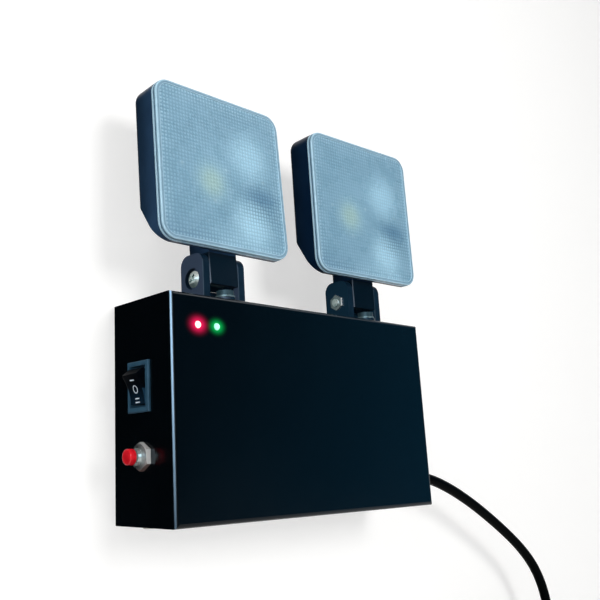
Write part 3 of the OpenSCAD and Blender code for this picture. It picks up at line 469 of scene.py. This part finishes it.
def faced(name, low, high, lit_flank, under_reflection, metal, lit_from=None):
    """Plated steel or brass with a painted highlight on its flanks, which face forward or up, and
    on its under side a painted reflection of what lies below it. Ahead of the depth lit_from its
    face gets a painted highlight towards the front too."""
    m = finish(name, low, high, (0.14, 0.28), blots=0.003, grain=0.0007, relief=0.06, metal=metal)
    t, s, base = coat_of(m)
    _, y, z = facing_of(t)
    forward = value_of(t, "MULTIPLY_ADD", z, up_share, value_of(t, "MULTIPLY", y, -1.0))
    base = tint(t, lit_flank, base, held(t, forward))
    base = tint(t, under_reflection, base, held(t, value_of(t, "MULTIPLY", z, under_gain), under_most))
    if lit_from is not None:
        depth = place_of(t)[1]
        lit = ramp(t, depth, lit_from, lit_from - nut_lit_run, 0, nut_lit_most)
        base = tint(t, lit_flank, base, lit)
    link(t, (base, s.inputs["Base Color"]))
    return m


# The nut's white flanks and front are a painted highlight, its brown under side a painted
# reflection of the red cap.
dress(faced("nut_chrome", (0.025, 0.030, 0.032), (0.10, 0.112, 0.115), (1.0, 1.0, 0.99),
            (0.24, 0.11, 0.085), 0.35, nut_lit_from), "button_nut")
dress(finish("threaded_chrome", (0.52, 0.58, 0.58), (0.86, 0.92, 0.90), (0.16, 0.28),
             blots=0.0030, grain=0.0030, relief=0.5, depth=0.0002, metal=0.75,
             stretch=(9, 0.4, 0.4)), "button_bushing")
dress(finish("bright_chrome", (0.56, 0.60, 0.60), (0.82, 0.86, 0.84), (0.14, 0.26),
             blots=0.0030, grain=0.0007, relief=0.06, metal=0.8), "button_plunger")
dress(finish("spring_wire", (0.55, 0.56, 0.58), (0.72, 0.73, 0.75), (0.2, 0.3), blots=0.003,
             metal=1.0), "button_spring")
dress(finish("red_cap", (0.52, 0.006, 0.014), (0.72, 0.012, 0.024), (0.18, 0.26), blots=0.003,
             grain=0.0005, relief=0.1, gloss=0.35), "test_button")


# Yokes: two black nylon brackets on the case's top, each turning on an M4 screw with a washer,
# with an M4 bolt through both ears for the head's neck. The bolts are zinc plated and bright.
swivel_x, swivel_y, swivel_z = joints["swivel_right"]["pos_m"]
# The ears' front edges, which carry a painted highlight: their depth, and how far they lie across
# from the yoke's middle.
ear_front = -0.0341
ear_edges = (-0.01195, 0.00825, 0.01195)
ear_highlight_width, ear_highlight_most = 0.0005, 0.9


def along_edge(tree, x, y, width):
    """1 on the upright line at (x, y), falling to 0 at width metres from it."""
    return nearness(tree, (x, y, 0), width, scale=(1, 1, 0), kind="SMOOTHSTEP")


def yoke_finish(name, lit_flank, middle):
    """Black nylon with painted light: a little paler on the flank that faces left, and a thin
    painted highlight along the front edge of each ear."""
    m = finish(name, (0.0022, 0.0095, 0.0200), (0.0045, 0.0165, 0.0330), (0.28, 0.42),
               blots=0.008, grain=0.0005, relief=0.14, gloss=0.3)
    t, s, base = coat_of(m)
    to_left = value_of(t, "MULTIPLY", facing_of(t)[0], -1.0)
    base = tint(t, lit_flank, base, value_of(t, "MAXIMUM", to_left, 0.0))
    for x in ear_edges:
        edge_highlight = along_edge(t, middle + x, ear_front, ear_highlight_width)
        base = tint(t, (0.060, 0.095, 0.135), base, value_of(t, "MULTIPLY", edge_highlight, ear_highlight_most))
    link(t, (base, s.inputs["Base Color"]))
    return m


# The left yoke's flank is painted lighter than the right one's: painted light on one, painted shade
# on the other.
dress(yoke_finish("yoke_nylon_left", (0.040, 0.062, 0.105), -swivel_x), "yoke_left")
dress(yoke_finish("yoke_nylon_right", (0.005, 0.026, 0.050), swivel_x), "yoke_right")
# The bolts' and nuts' pale flanks are a painted highlight and their under sides a painted
# reflection of what lies below.
plated = faced("bright_zinc", (0.36, 0.54, 0.52), (0.84, 0.95, 0.93), (0.92, 0.96, 0.95),
               (0.10, 0.16, 0.17), 0.35)
dress(plated, "pivot_bolt_left", "pivot_bolt_right")
dress(faced("nut_zinc", (0.16, 0.24, 0.25), (0.34, 0.43, 0.43), (0.98, 0.99, 0.98),
            (0.40, 0.45, 0.45), 0.4), "pivot_nut_left", "pivot_nut_right")
dress(finish("dull_zinc", (0.020, 0.045, 0.058), (0.045, 0.085, 0.105), (0.4, 0.55),
             blots=0.002, grain=0.0004, relief=0.2, metal=0.3, gloss=0.3), "swivel_screws")
dress(finish("washer_zinc", (0.10, 0.16, 0.18), (0.20, 0.28, 0.30), (0.3, 0.45),
             blots=0.002, grain=0.0004, relief=0.2, metal=0.4, gloss=0.3), "swivel_washers")


# Heads: a black ABS housing with its neck; a white board with a round lamp and a bright dish
# behind the lens.
# The neck is what lies below neck_top.
neck_top, neck_dark, neck_highlight_width = 0.0374, 0.96, 0.0007
lens_side, back_side, back_dark = -0.036, -0.020, 0.75


def housing_finish(name, low, high, gloss, edge_x):
    """Navy-black ABS, bluest near the lens, with painted shade that makes it nearly black towards
    its back, nearly black on the neck too, and a painted highlight along the neck's front edge at
    edge_x."""
    m = finish(name, low, high, (0.3, 0.42), blots=0.02, grain=0.0006, relief=0.12, gloss=gloss)
    t, s, base = coat_of(m)
    _, y, z = place_of(t)
    deep = ramp(t, y, lens_side, back_side, 0, back_dark, "SMOOTHSTEP")
    on_neck = value_of(t, "LESS_THAN", z, neck_top)
    dark = value_of(t, "MAXIMUM", deep, value_of(t, "MULTIPLY", on_neck, neck_dark))
    base = tint(t, (0.0008, 0.0040, 0.0080), base, dark)
    edge_highlight = value_of(t, "MULTIPLY", along_edge(t, edge_x, ear_front, neck_highlight_width), on_neck)
    link(t, (tint(t, (0.16, 0.20, 0.26), base, edge_highlight), s.inputs["Base Color"]))
    return m


# The right housing's colours are a darker copy of the left's: painted shade.
dress(housing_finish("housing_abs_left", (0.013, 0.036, 0.080), (0.022, 0.058, 0.122), 0.3,
                     -0.0557), "head_housing_left")
dress(housing_finish("housing_abs_right", (0.0010, 0.0085, 0.027), (0.0030, 0.0165, 0.045), 0.18,
                     0.0400), "head_housing_right")
dress(finish("gasket_rubber", (0.006, 0.007, 0.008), (0.012, 0.013, 0.014), (0.6, 0.75),
             blots=0.004), "lens_gasket_left", "lens_gasket_right")
dress(finish("reflector_chrome", (0.70, 0.74, 0.78), (0.84, 0.87, 0.9), (0.1, 0.2), blots=0.01,
             metal=1.0), "reflector_left", "reflector_right")
dress(finish("white_board", (0.66, 0.68, 0.66), (0.76, 0.78, 0.76), (0.3, 0.4), blots=0.006),
      "led_board_left", "led_board_right")
dress(finish("phosphor", (0.62, 0.60, 0.12), (0.78, 0.74, 0.20), (0.35, 0.5), blots=0.002),
      "led_chip_left", "led_chip_right")
dress(zinc, "led_screws_left", "led_screws_right")


# Lenses: moulded acrylic with a flange, a groove and a rounded rim round a field of 40 x 40
# small pillows, each a shallow dome, that spread the light of the lamp behind.
# Sizes are in mm here: half the lens's side and its corner, and the same of its field.
half, corner = 36.8, 7.5
field_half, field_corner = 34.65, 5.35
cells, cell_steps = 40, 4
corner_steps = 12
# Depths from the pivot: the field's foot, its back, and where places on the lens are told from.
field_y, field_back, face_y = -12.82, -10.9, -12.8
pillow = 0.16
# The lens's middle over the pivot, the pivot from the swivel's foot, and the swivel's foot.
lens_z = 11.3 + half
pivot_from_swivel = np.array([0, 7.8, 10.1])
swivel_foot = [round(1000 * c, 4) for c in (swivel_x, swivel_y, swivel_z)]
# Cross-section of the rim, from the field's edge out over the rim, the groove and the flange
# and back along the skirt: (inset, y).
bend = np.linspace(0, np.pi / 2, 5)
rim_line = np.array(
    [[2.9, -12.75], [2.25, -12.85], [2.2, -13.1], [2.08, -13.2], [1.8, -13.2], [1.1, -13.2]]
    + [[0.7 - 0.5 * math.sin(q), -12.7 - 0.5 * math.cos(q)] for q in bend]
    + [[0.2, -12.06], [0.26, -12.0], [0.8, -12.0], [0.8, -11.4], [0.1, -11.4], [0.0, -11.3],
       [0.0, -10.5], [0.1, -10.4], [3.0, -10.4], [3.0, -7.8], [4.4, -7.8], [4.4, -10.8]])
# The UV named place spans this many mm, and the shades are below 0 for darker.
uv_span = 75
groove_shade, flat_shade, crest_shade, lip_shade = -0.9, -0.50, 0.25, 0.2


def square_loop(inset):
    """Corner arcs of a rounded square drawn in by inset, joined by its straight sides."""
    a = np.linspace(0, np.pi / 2, corner_steps)
    arcs = []
    for k in range(4):
        c = (half - corner) * np.array([math.copysign(1, math.cos(k * math.pi / 2 + 0.1)),
                                        math.copysign(1, math.sin(k * math.pi / 2 + 0.1))])
        arcs.append(c + (corner - inset) * np.stack([np.cos(a + k * np.pi / 2),
                                                     np.sin(a + k * np.pi / 2)], 1))
    return np.concatenate(arcs)


def head_place(side, lean, twist):
    """Head coordinates, mm round the pivot, to metres in the row frame: lean back about X,
    lift to the pivot, turn about the swivel screw, and move to it."""
    a, b = math.radians(-lean), math.radians(twist)
    lean_by = np.array([[1, 0, 0], [0, math.cos(a), -math.sin(a)], [0, math.sin(a), math.cos(a)]])
    turn_by = np.array([[math.cos(b), -math.sin(b), 0], [math.sin(b), math.cos(b), 0], [0, 0, 1]])
    foot = np.array([side * swivel_foot[0], *swivel_foot[1:]])

    def place(p):
        return ((p @ lean_by.T + pivot_from_swivel) @ turn_by.T + foot) / 1000

    return place


def field_grid():
    """Pillow field: over a square of 40 cells a side a pillow stands (1 - (2 cx)^2) times
    (1 - (2 cz)^2) of its height, cx and cz being the place in the cell from -0.5 to 0.5;
    points beyond the round corners are drawn in to their arcs and lie flat."""
    u = np.linspace(-1, 1, cells * cell_steps + 1)
    x, z = np.meshgrid(u * field_half, u * field_half)
    cx = np.mod((x / field_half + 1) / 2 * cells, 1.0)
    cz = np.mod((z / field_half + 1) / 2 * cells, 1.0)
    dome = (4 * cx * (1 - cx)) * (4 * cz * (1 - cz))
    straight = field_half - field_corner
    ox, oz = np.maximum(np.abs(x) - straight, 0), np.maximum(np.abs(z) - straight, 0)
    far = np.hypot(ox, oz)
    past = (ox > 0) & (oz > 0) & (far > field_corner)
    pull = np.where(past, field_corner / np.maximum(far, 1e-9), 1)
    x = np.sign(x) * (np.minimum(np.abs(x), straight) + ox * pull)
    z = np.sign(z) * (np.minimum(np.abs(z), straight) + oz * pull)
    return x, z, np.where(pull < 1, 0, dome)


def lens_sheets(place):
    """The rim's cross-section carried round the rounded square, the pillow field, and a wall from
    the field's edge to its back, closed in the middle."""
    around = 4 * corner_steps
    rim = np.stack([np.concatenate([square_loop(inset), np.full((around, 1), y)], 1)
                    for inset, y in rim_line])
    x, z, dome = field_grid()
    front = np.stack([x, z, field_y - pillow * dome], -1)
    behind = np.stack([x, z, np.full_like(x, field_back)], -1)
    edge, back_edge = (np.concatenate([g[0, :-1], g[:-1, -1], g[-1, :0:-1], g[:0:-1, 0]])
                       for g in (front, behind))
    wall = np.stack([edge, back_edge, 0 * back_edge + np.array([0, 0, field_back])])

    def to_row(a):
        """(x, z, y) on the lens to the row frame."""
        return place(np.stack([a[..., 0], a[..., 2], lens_z + a[..., 1]], -1))

    return [(to_row(np.concatenate([rim, rim[:1]])), True, False), (to_row(front), False, False),
            (to_row(wall), True, False)]


def mark_lens(mesh, place):
    """Writes each point's place on the lens, in mm from its middle, as the UV named place. The
    attribute dome is how high it stands on its pillow, from 0 to 1, and shade is below 0 in the
    groove and on the rim's flat top and above 0 on the rim's inner edge and the flange's lip."""
    co = np.empty(len(mesh.vertices) * 3, np.float32)
    mesh.vertices.foreach_get("co", co)
    origin, end_x, end_y, end_z = (place(np.array(p)) for p in (
        [0.0, face_y, lens_z], [1000.0, face_y, lens_z], [0.0, face_y + 1000.0, lens_z],
        [0.0, face_y, lens_z + 1000.0]))
    from_middle = co.reshape(-1, 3) - origin
    px = from_middle @ (end_x - origin) * 1000
    pz = from_middle @ (end_z - origin) * 1000
    py = from_middle @ (end_y - origin) * 1000 + face_y
    point_of = np.empty(len(mesh.loops), np.int32)
    mesh.loops.foreach_get("vertex_index", point_of)
    uv = (np.stack([px, pz], 1)[point_of] / uv_span + 0.5).astype(np.float32)
    mesh.uv_layers.new(name="place").data.foreach_set("uv", uv.ravel())
    in_field = (np.abs(px) < field_half - 0.05) & (np.abs(pz) < field_half - 0.05) & (py < -12)
    dome = np.where(in_field, np.clip((field_y - py) / pillow, 0, 1), 1.0)
    # How far in from the lens's outline a point is.
    straight = half - corner
    ox, oz = np.maximum(np.abs(px) - straight, 0), np.maximum(np.abs(pz) - straight, 0)
    inset = np.where((ox > 0) | (oz > 0), corner - np.hypot(ox, oz),
                     half - np.maximum(np.abs(px), np.abs(pz)))
    # These bounds sort the points of rim_line, by depth and inset, into its forms.
    groove = (py > -12.3) & (inset > 0.15) & (inset < 1)
    crest = (py < -13.05) & (inset > 1.95)
    flat = (py < -13.15) & (inset > 0.9) & (inset < 1.95)
    lip = (py > -11.35) & (py < -10) & (inset < 0.05)
    shade = (groove_shade * groove + crest_shade * crest + lip_shade * lip + flat_shade * flat)
    for name, values in (("dome", dome), ("shade", shade)):
        attribute = mesh.attributes.new(name, "FLOAT", "POINT")
        attribute.data.foreach_set("value", values.astype(np.float32))


def lens_finish(name, chip):
    """Pale blue acrylic with soft pale patches and a darker wedge, painted reflections of the
    bright dish and its shade behind the lens, and the lamp behind it, laid over one another by
    their place on the lens. The edges of the pillows carry painted shade, and the rim painted
    highlights and shade."""
    m = finish(name, (0.210, 0.388, 0.518), (0.245, 0.435, 0.575), (0.22, 0.34), blots=0.012,
               grain=0.0009, relief=0.05, gloss=0.5)
    t, s, base = coat_of(m)
    uv = t.nodes.new("ShaderNodeUVMap")
    uv.uv_map = "place"
    mm = t.nodes.new("ShaderNodeVectorMath")
    mm.operation = "MULTIPLY_ADD"
    mm.inputs[1].default_value = (uv_span, uv_span, 0)
    mm.inputs[2].default_value = (-uv_span / 2, -uv_span / 2, 0)
    link(t, (uv.outputs[0], mm.inputs[0]))

    def spot(x, z, radius, scale=(1, 1)):
        """1 at (x, z) on the lens, 0 beyond radius; a scale below 1 widens the spot."""
        return nearness(t, (x, z, 0), radius, scale=(*scale, 1), where=mm.outputs[0])

    # Each patch is (colour, place, radius, scale, strength).
    # The pale patches are painted reflections of the dish, the darker ones painted shade inside the
    # head, and the two at chip the lamp seen through the lens.
    patches = [((0.42, 0.70, 0.88), (16, 10), 20, (1, 1), 0.9),
               ((0.46, 0.75, 0.93), (15, -22), 19, (1, 1), 0.95),
               ((0.42, 0.70, 0.88), (8, -34), 26, (0.7, 1.6), 0.30),
               ((0.160, 0.320, 0.470), (22, -8), 12, (0.7, 1.7), 0.8),
               ((0.080, 0.200, 0.330), (24, -9), 7.5, (0.8, 1.4), 0.25),
               ((0.34, 0.55, 0.62), chip, 15, (1, 1), 0.9),
               ((0.38, 0.54, 0.44), chip, 10.0, (1, 1), 0.42),
               ((0.130, 0.250, 0.375), (-30, -40), 22, (0.5, 1.0), 0.55)]
    # The marks of the moulding pins and of the board's screws show as small pale dots.
    patches += [((0.42, 0.62, 0.72), at, 1.6, (1, 1), 0.5)
                for at in ((-24, -1), (1, 1), (24, 0), (chip[0] + 1, -15))]
    for colour, (x, z), radius, scale, strength in patches:
        amount = value_of(t, "MULTIPLY", spot(x, z, radius, scale), strength)
        base = tint(t, colour, base, amount)
    # Painted shade in the creases at the pillows' edges, least round the middle and most near the
    # wedge.
    dome, shade = (t.nodes.new("ShaderNodeAttribute") for _ in range(2))
    dome.attribute_name, shade.attribute_name = "dome", "shade"
    pillow_crease_shade = value_of(t, "MULTIPLY_ADD", spot(-5, 2, 28, (1.2, 1.0)), -0.24, 0.30)
    pillow_crease_shade = value_of(t, "MULTIPLY_ADD", spot(22, -12, 20, (1.0, 1.2)), 0.48, pillow_crease_shade)
    edge = value_of(t, "POWER", value_of(t, "SUBTRACT", 1.0, dome.outputs["Fac"]), 1.6)
    base = tint(t, (0.055, 0.140, 0.230), base, value_of(t, "MULTIPLY", edge, pillow_crease_shade))
    # Painted highlight: the pillows near the rim are lighter at their tops.
    x, z, _ = split(t, mm.outputs[0])
    out = value_of(t, "MAXIMUM", value_of(t, "ABSOLUTE", x), value_of(t, "ABSOLUTE", z))
    top = value_of(t, "POWER", dome.outputs["Fac"], 3.0)
    top = value_of(t, "MULTIPLY", top, ramp(t, out, 28, 34))
    base = tint(t, (0.52, 0.76, 0.90), base, value_of(t, "MULTIPLY", top, 0.55))
    # Painted highlights and painted shade on the rim and in the groove, from the attribute shade.
    lighter = value_of(t, "MAXIMUM", shade.outputs["Fac"], 0.0)
    darker = value_of(t, "MAXIMUM", value_of(t, "MULTIPLY", shade.outputs["Fac"], -1.0), 0.0)
    base = tint(t, (0.52, 0.76, 0.90), base, lighter)
    link(t, (tint(t, (0.030, 0.095, 0.190), base, darker), s.inputs["Base Color"]))
    return m


# Each head is (stem, side, how far it leans back, how far it is turned, its lamp on the lens).
for stem, side, lean, twist, chip in (("left", -1, 3.0, 0.0, (-7.5, -6.2)),
                                      ("right", 1, 0.5, -2.0, (-11.2, -5.0))):
    place = head_place(side, lean, twist)
    lens = build("lens_" + stem, lens_sheets(place), "head_" + stem,
                 lens_finish("acrylic_" + stem, chip), 25)
    mark_lens(lens.data, place)
    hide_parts("head_lens_" + stem)


# Cord: black 5.6 mm two-core mains lead, out of a ribbed rubber relief in the right side. It
# sags and turns down, and the rest hangs in a coil of four turns in two layers.
cord_r = 0.0028
route = np.array([
    [102.25, -20.4, -63.5], [104.5, -20.4, -63.5], [109, -20.4, -64], [118, -20.4, -66.3],
    [130, -20.4, -70.5], [142, -20.4, -75.6], [154, -20.4, -81.4], [166, -20.4, -87.8],
    [178, -20.4, -94.7], [190, -20.4, -102.2], [201, -20.4, -110.2], [210.5, -20.4, -119.2],
    [217.6, -20.4, -129.8], [221.6, -20.4, -141.6], [222.9, -20.4, -153.8], [223, -20.4, -166],
    [223, -20.4, -178], [223, -20.4, -189.4]]) / 1000
coil_mid, coil_r, pitch, turns = np.array([0.1858, -0.0204, -0.195]), 0.0372, 0.0062, 4
coil_tail = 0.021
route_steps, turn_steps, tail_steps, cord_sides = 4, 48, 8, 14


def smooth_path(points, steps):
    """A smooth curve through the points: each span is a cubic, and its slope at a point is half
    the way from the point before to the point after."""
    p = np.concatenate([2 * points[:1] - points[1:2], points, 2 * points[-1:] - points[-2:-1]])
    u = np.linspace(0, 1, steps, endpoint=False)[None, :, None]
    a, b, c, d = (p[i:len(p) - 3 + i, None] for i in range(4))
    spans = 0.5 * (2 * b + (c - a) * u + (2 * a - 5 * b + 4 * c - d) * u ** 2
                   + (3 * b - 3 * c + d - a) * u ** 3)
    return np.concatenate([spans.reshape(-1, 3), points[-1:]])


def sweep(path, radius, sides):
    """A round tube: a circle of that radius at every point, square to the path's direction."""
    way = np.gradient(path, axis=0)
    way /= np.linalg.norm(way, axis=1)[:, None]
    a = np.cross(way, np.array([0.0, 1.0, 0.0]))
    a /= np.linalg.norm(a, axis=1)[:, None]
    b = np.cross(a, way)
    k = np.linspace(0, 2 * np.pi, sides, endpoint=False)
    ring = np.cos(k)[:, None] * a[:, None] + np.sin(k)[:, None] * b[:, None]
    return path[:, None] + radius * ring


dress(finish("relief_rubber", (0.0020, 0.0030, 0.0045), (0.0040, 0.0055, 0.0075), (0.45, 0.6),
             blots=0.004, grain=0.0004, relief=0.2, gloss=0.1), "strain_relief")
cord_pvc = finish("cord_pvc", (0.0003, 0.0006, 0.0009), (0.0008, 0.0012, 0.0016), (0.4, 0.55),
                  blots=0.006, grain=0.0005, relief=0.2, gloss=0.02)

# The coil: in by one pitch for each turn to half way, one layer further back, and out again.
u = np.linspace(0, turns, turns * turn_steps + 1)
radius_at = coil_r - pitch * np.minimum(u, turns - u)
climb = np.clip((u - turns / 2) / 0.5 + 0.5, 0, 1)
climb = climb ** 2 * (3 - 2 * climb)
coil = np.stack([coil_mid[0] + radius_at * np.cos(2 * np.pi * u), coil_mid[1] + pitch * climb,
                 coil_mid[2] - radius_at * np.sin(2 * np.pi * u)], 1)
tail = coil[-1] + np.linspace(0, 1, tail_steps)[1:, None] * np.array([0, 0, -coil_tail])
cord_path = np.concatenate([smooth_path(route, route_steps), coil, tail])
steps = np.linalg.norm(np.diff(cord_path, axis=0), axis=1)
cord_path = cord_path[np.concatenate([[True], steps > 1e-5])]
cord_length = float(np.linalg.norm(np.diff(cord_path, axis=0), axis=1).sum())
cord_tube = sweep(cord_path, cord_r, cord_sides)
cord = build("mains_cord", [(cord_tube, True, True)], "case", cord_pvc, 60)
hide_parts("power_cord", "cord_coil")


# Tie: a soft black strap, 5 mm wide and 0.8 mm thick with thin edges, moulded in rubber and
# wound round all the turns at the top of the coil.
tie_gap, tie_half_wide, tie_half_thick = 0.00025, 2.5, 0.4
tie_square, tie_swell = 0.3, 0.00045
tie_points = 48


def eased(c, power):
    """The numbers c raised to the power, with their signs kept."""
    return np.sign(c) * np.abs(c) ** power


# At the top the inner and the outer turn are 1.75 and 0.25 pitches in from the coil's radius.
reach = cord_r + tie_gap
tie_low = np.array([coil_mid[1] - reach, coil_r - 1.75 * pitch - reach])
tie_high = np.array([coil_mid[1] + pitch + reach, coil_r - 0.25 * pitch + reach])
mid, size = (tie_low + tie_high) / 2, (tie_high - tie_low) / 2
a = np.linspace(0, 2 * np.pi, tie_points, endpoint=False)
# The strap's line is a superellipse round the turns; out_y and out_z are about the way out.
line_y, line_z = (mid[i] + (size[i] + tie_swell) * eased(c, tie_square)
                  for i, c in enumerate((np.cos(a), np.sin(a))))
out_y, out_z = eased(np.cos(a), 1.2), eased(np.sin(a), 1.2)
section = np.array([[-tie_half_wide, 0], [-2.2, tie_half_thick], [2.2, tie_half_thick],
                    [tie_half_wide, 0], [2.2, -tie_half_thick], [-2.2, -tie_half_thick]]) / 1000
strap = np.stack([np.stack([np.full(tie_points, coil_mid[0] + w), line_y + h * out_y,
                            coil_mid[2] + line_z + h * out_z], 1) for w, h in section], 1)
tie_rubber = finish("tie_rubber", (0.006, 0.007, 0.008), (0.012, 0.013, 0.014), (0.5, 0.65),
                    blots=0.004, gloss=0.25)
tie = build("cord_strap", [(np.concatenate([strap, strap[:1]]), True, False)], "case",
            tie_rubber, 40)
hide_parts("cord_tie")


# Plug: moulded PVC in one piece on the cord's end, hanging under the coil, with two plated pins.
# Each level is (down from the cord's end, half width, half depth, squareness) in mm, and its
# outline is a superellipse: |x / width|^squareness + |y / depth|^squareness = 1.
levels = np.array([
    [0, 3.4, 3.4, 2], [2, 3.9, 3.9, 2], [5, 4.3, 4.3, 2], [8, 4.6, 4.6, 2], [10, 5.2, 4.9, 2.1],
    [12, 7.2, 5.6, 2.3], [15, 10.2, 6.3, 2.6], [19, 12.4, 6.7, 3], [24, 13.0, 6.8, 3.4],
    [30, 12.8, 6.8, 3.6], [36, 12.2, 6.7, 3.6], [40, 11.7, 6.6, 3.6], [42.6, 11.2, 6.4, 3.6],
    [43.6, 10.6, 6.0, 3.4], [44.0, 9.6, 5.2, 3.2]])
down, wide, thick = levels[:, :3].T[..., None] / 1000
bow = 2 / levels[:, 3:]
k = np.linspace(0, 2 * np.pi, 40, endpoint=False)
plug_top = tail[-1]
shell = np.stack([plug_top[0] + wide * eased(np.cos(k), bow),
                  plug_top[1] + thick * eased(np.sin(k), bow),
                  plug_top[2] - down + 0 * k], -1)
plug = build("plug", [(shell, True, True)], "case", cord_pvc, 50)
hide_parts("plug_body")
dress(plated, "plug_pins")


# Studio: a pale floor just below the cord and the white wall that the light hangs on. A square
# lamp in front throws the soft shadow on the wall, and one from the left lifts it without any.
floor_z, wall_y, stage_far = -0.2805, 0.0012, 3
world_dim, world_seen = 0.14, 0.86
lamp_look, lamp_white = (0, -0.02, 0), (1.0, 0.99, 0.97)


def stage_piece(name, points, faces, material):
    """A mesh that isn't part of the object."""
    mesh = bpy.data.meshes.new(name)
    mesh.from_pydata(points, [], faces)
    mesh.materials.append(material)
    piece = bpy.data.objects.new(name, mesh)
    bpy.context.scene.collection.objects.link(piece)
    return piece


def seen_directly(tree):
    """1 for camera, glossy and transmission rays."""
    path = tree.nodes.new("ShaderNodeLightPath")
    return value_of(tree, "MAXIMUM", value_of(tree, "MAXIMUM", path.outputs["Is Camera Ray"],
                                              path.outputs["Is Glossy Ray"]),
                    path.outputs["Is Transmission Ray"])


def pale_sheet(name, tone, lift, one_sided=False):
    """Matt white that takes shadows and looks white where it's lit."""
    m = bpy.data.materials.new(name)
    m.use_nodes = True
    t = m.node_tree
    t.nodes.remove(t.nodes["Principled BSDF"])
    matt = t.nodes.new("ShaderNodeBsdfDiffuse")
    matt.inputs["Color"].default_value = (tone, tone, tone, 1)
    light = t.nodes.new("ShaderNodeEmission")
    both = t.nodes.new("ShaderNodeAddShader")
    link(t, (value_of(t, "MULTIPLY", seen_directly(t), lift), light.inputs["Strength"]),
         (matt.outputs[0], both.inputs[0]), (light.outputs[0], both.inputs[1]))
    surface = both.outputs[0]
    if one_sided:
        clear = t.nodes.new("ShaderNodeBsdfTransparent")
        side = t.nodes.new("ShaderNodeNewGeometry")
        mix = t.nodes.new("ShaderNodeMixShader")
        link(t, (side.outputs["Backfacing"], mix.inputs[0]), (surface, mix.inputs[1]),
             (clear.outputs[0], mix.inputs[2]))
        surface = mix.outputs[0]
    link(t, (surface, t.nodes["Material Output"].inputs["Surface"]))
    return m


def soft_lamp(name, place, size, power, shadow=True):
    """A square lamp at place that faces the case; gloss shows the room, not the lamp."""
    data = bpy.data.lights.new(name, "AREA")
    data.shape = "SQUARE"
    data.size = size
    data.energy, data.color, data.use_shadow = power, lamp_white, shadow
    lamp = bpy.data.objects.new(name, data)
    to_case = (Vector(lamp_look) - Vector(place)).to_track_quat("-Z", "Y")
    lamp.matrix_world = Matrix.Translation(place) @ to_case.to_matrix().to_4x4()
    lamp.visible_glossy = False
    bpy.context.scene.collection.objects.link(lamp)


stage_piece("floor", [(-stage_far, -stage_far, floor_z), (stage_far, -stage_far, floor_z),
                      (stage_far, wall_y, floor_z), (-stage_far, wall_y, floor_z)],
            [(0, 1, 2, 3)], pale_sheet("floor_white", 0.7, 0.45))
wall = stage_piece("wall", [(-stage_far, wall_y, floor_z), (stage_far, wall_y, floor_z),
                            (stage_far, wall_y, stage_far), (-stage_far, wall_y, stage_far)],
                   [(0, 1, 2, 3)], pale_sheet("wall_white", 0.66, 0.475, one_sided=True))
wall.visible_diffuse = wall.visible_glossy = wall.visible_shadow = False
world = bpy.data.worlds.new("studio")
bpy.context.scene.world = world
world.use_nodes = True
sky = world.node_tree.nodes["Background"]
sky.inputs["Color"].default_value = (1, 1, 1, 1)
sky_strength = value_of(world.node_tree, "MULTIPLY_ADD", seen_directly(world.node_tree),
                        world_seen, world_dim)
link(world.node_tree, (sky_strength, sky.inputs["Strength"]))
soft_lamp("key", (0.15, -1.06, 0.30), 0.44, 5.6)
soft_lamp("fill", (-0.85, -0.45, 0.35), 0.6, 7.0, shadow=False)


# Room: a part of a sphere round the front and sides, dim teal to the right and nearly black to
# the left, with a round bright patch behind the camera and a smaller one high on the right, which
# gives the flanks of nuts and caps their bright lines. Only glossy rays meet it.
room_r = 1.6
azimuths, heights = np.radians(np.linspace(92, 352, 97)), np.radians(np.linspace(-60, 85, 24))
teal_from, teal_to = -0.4, 1.1
window, window_full, window_end = np.array([-0.742, -0.632, 0.22]), 0.45, 0.70
skylight, skylight_end = np.array([0.60, -0.36, 0.71]), 0.62


def room_light():
    """The room's colours, given off as light."""
    m = bpy.data.materials.new("room_light")
    m.use_nodes = True
    t = m.node_tree
    t.nodes.remove(t.nodes["Principled BSDF"])
    lit = tint(t, (0.026, 0.140, 0.255), (0.005, 0.008, 0.012),
               ramp(t, place_of(t)[0], teal_from, teal_to))
    on_window, on_skylight = (room_r * way / np.linalg.norm(way) for way in (window, skylight))
    lit = tint(t, (2.6, 3.4, 4.0), lit,
               nearness(t, on_window, window_end, inner=window_full, kind="SMOOTHSTEP"))
    lit = tint(t, (2.8, 3.0, 3.2), lit, nearness(t, on_skylight, skylight_end))
    glow = t.nodes.new("ShaderNodeEmission")
    link(t, (lit, glow.inputs["Color"]),
         (glow.outputs[0], t.nodes["Material Output"].inputs["Surface"]))
    return m


level, steep = np.cos(heights)[:, None], np.sin(heights)[:, None]
dome = np.stack([level * np.sin(azimuths), level * np.cos(azimuths), steep + 0 * azimuths], -1)
numbers = np.arange(len(heights) * len(azimuths)).reshape(len(heights), len(azimuths))
room = stage_piece("room", (room_r * dome).reshape(-1, 3).tolist(), quads_of(numbers), room_light())
room.visible_camera = room.visible_diffuse = room.visible_shadow = False
room.visible_transmission = False

bpy.context.scene.view_settings.view_transform = "Standard"
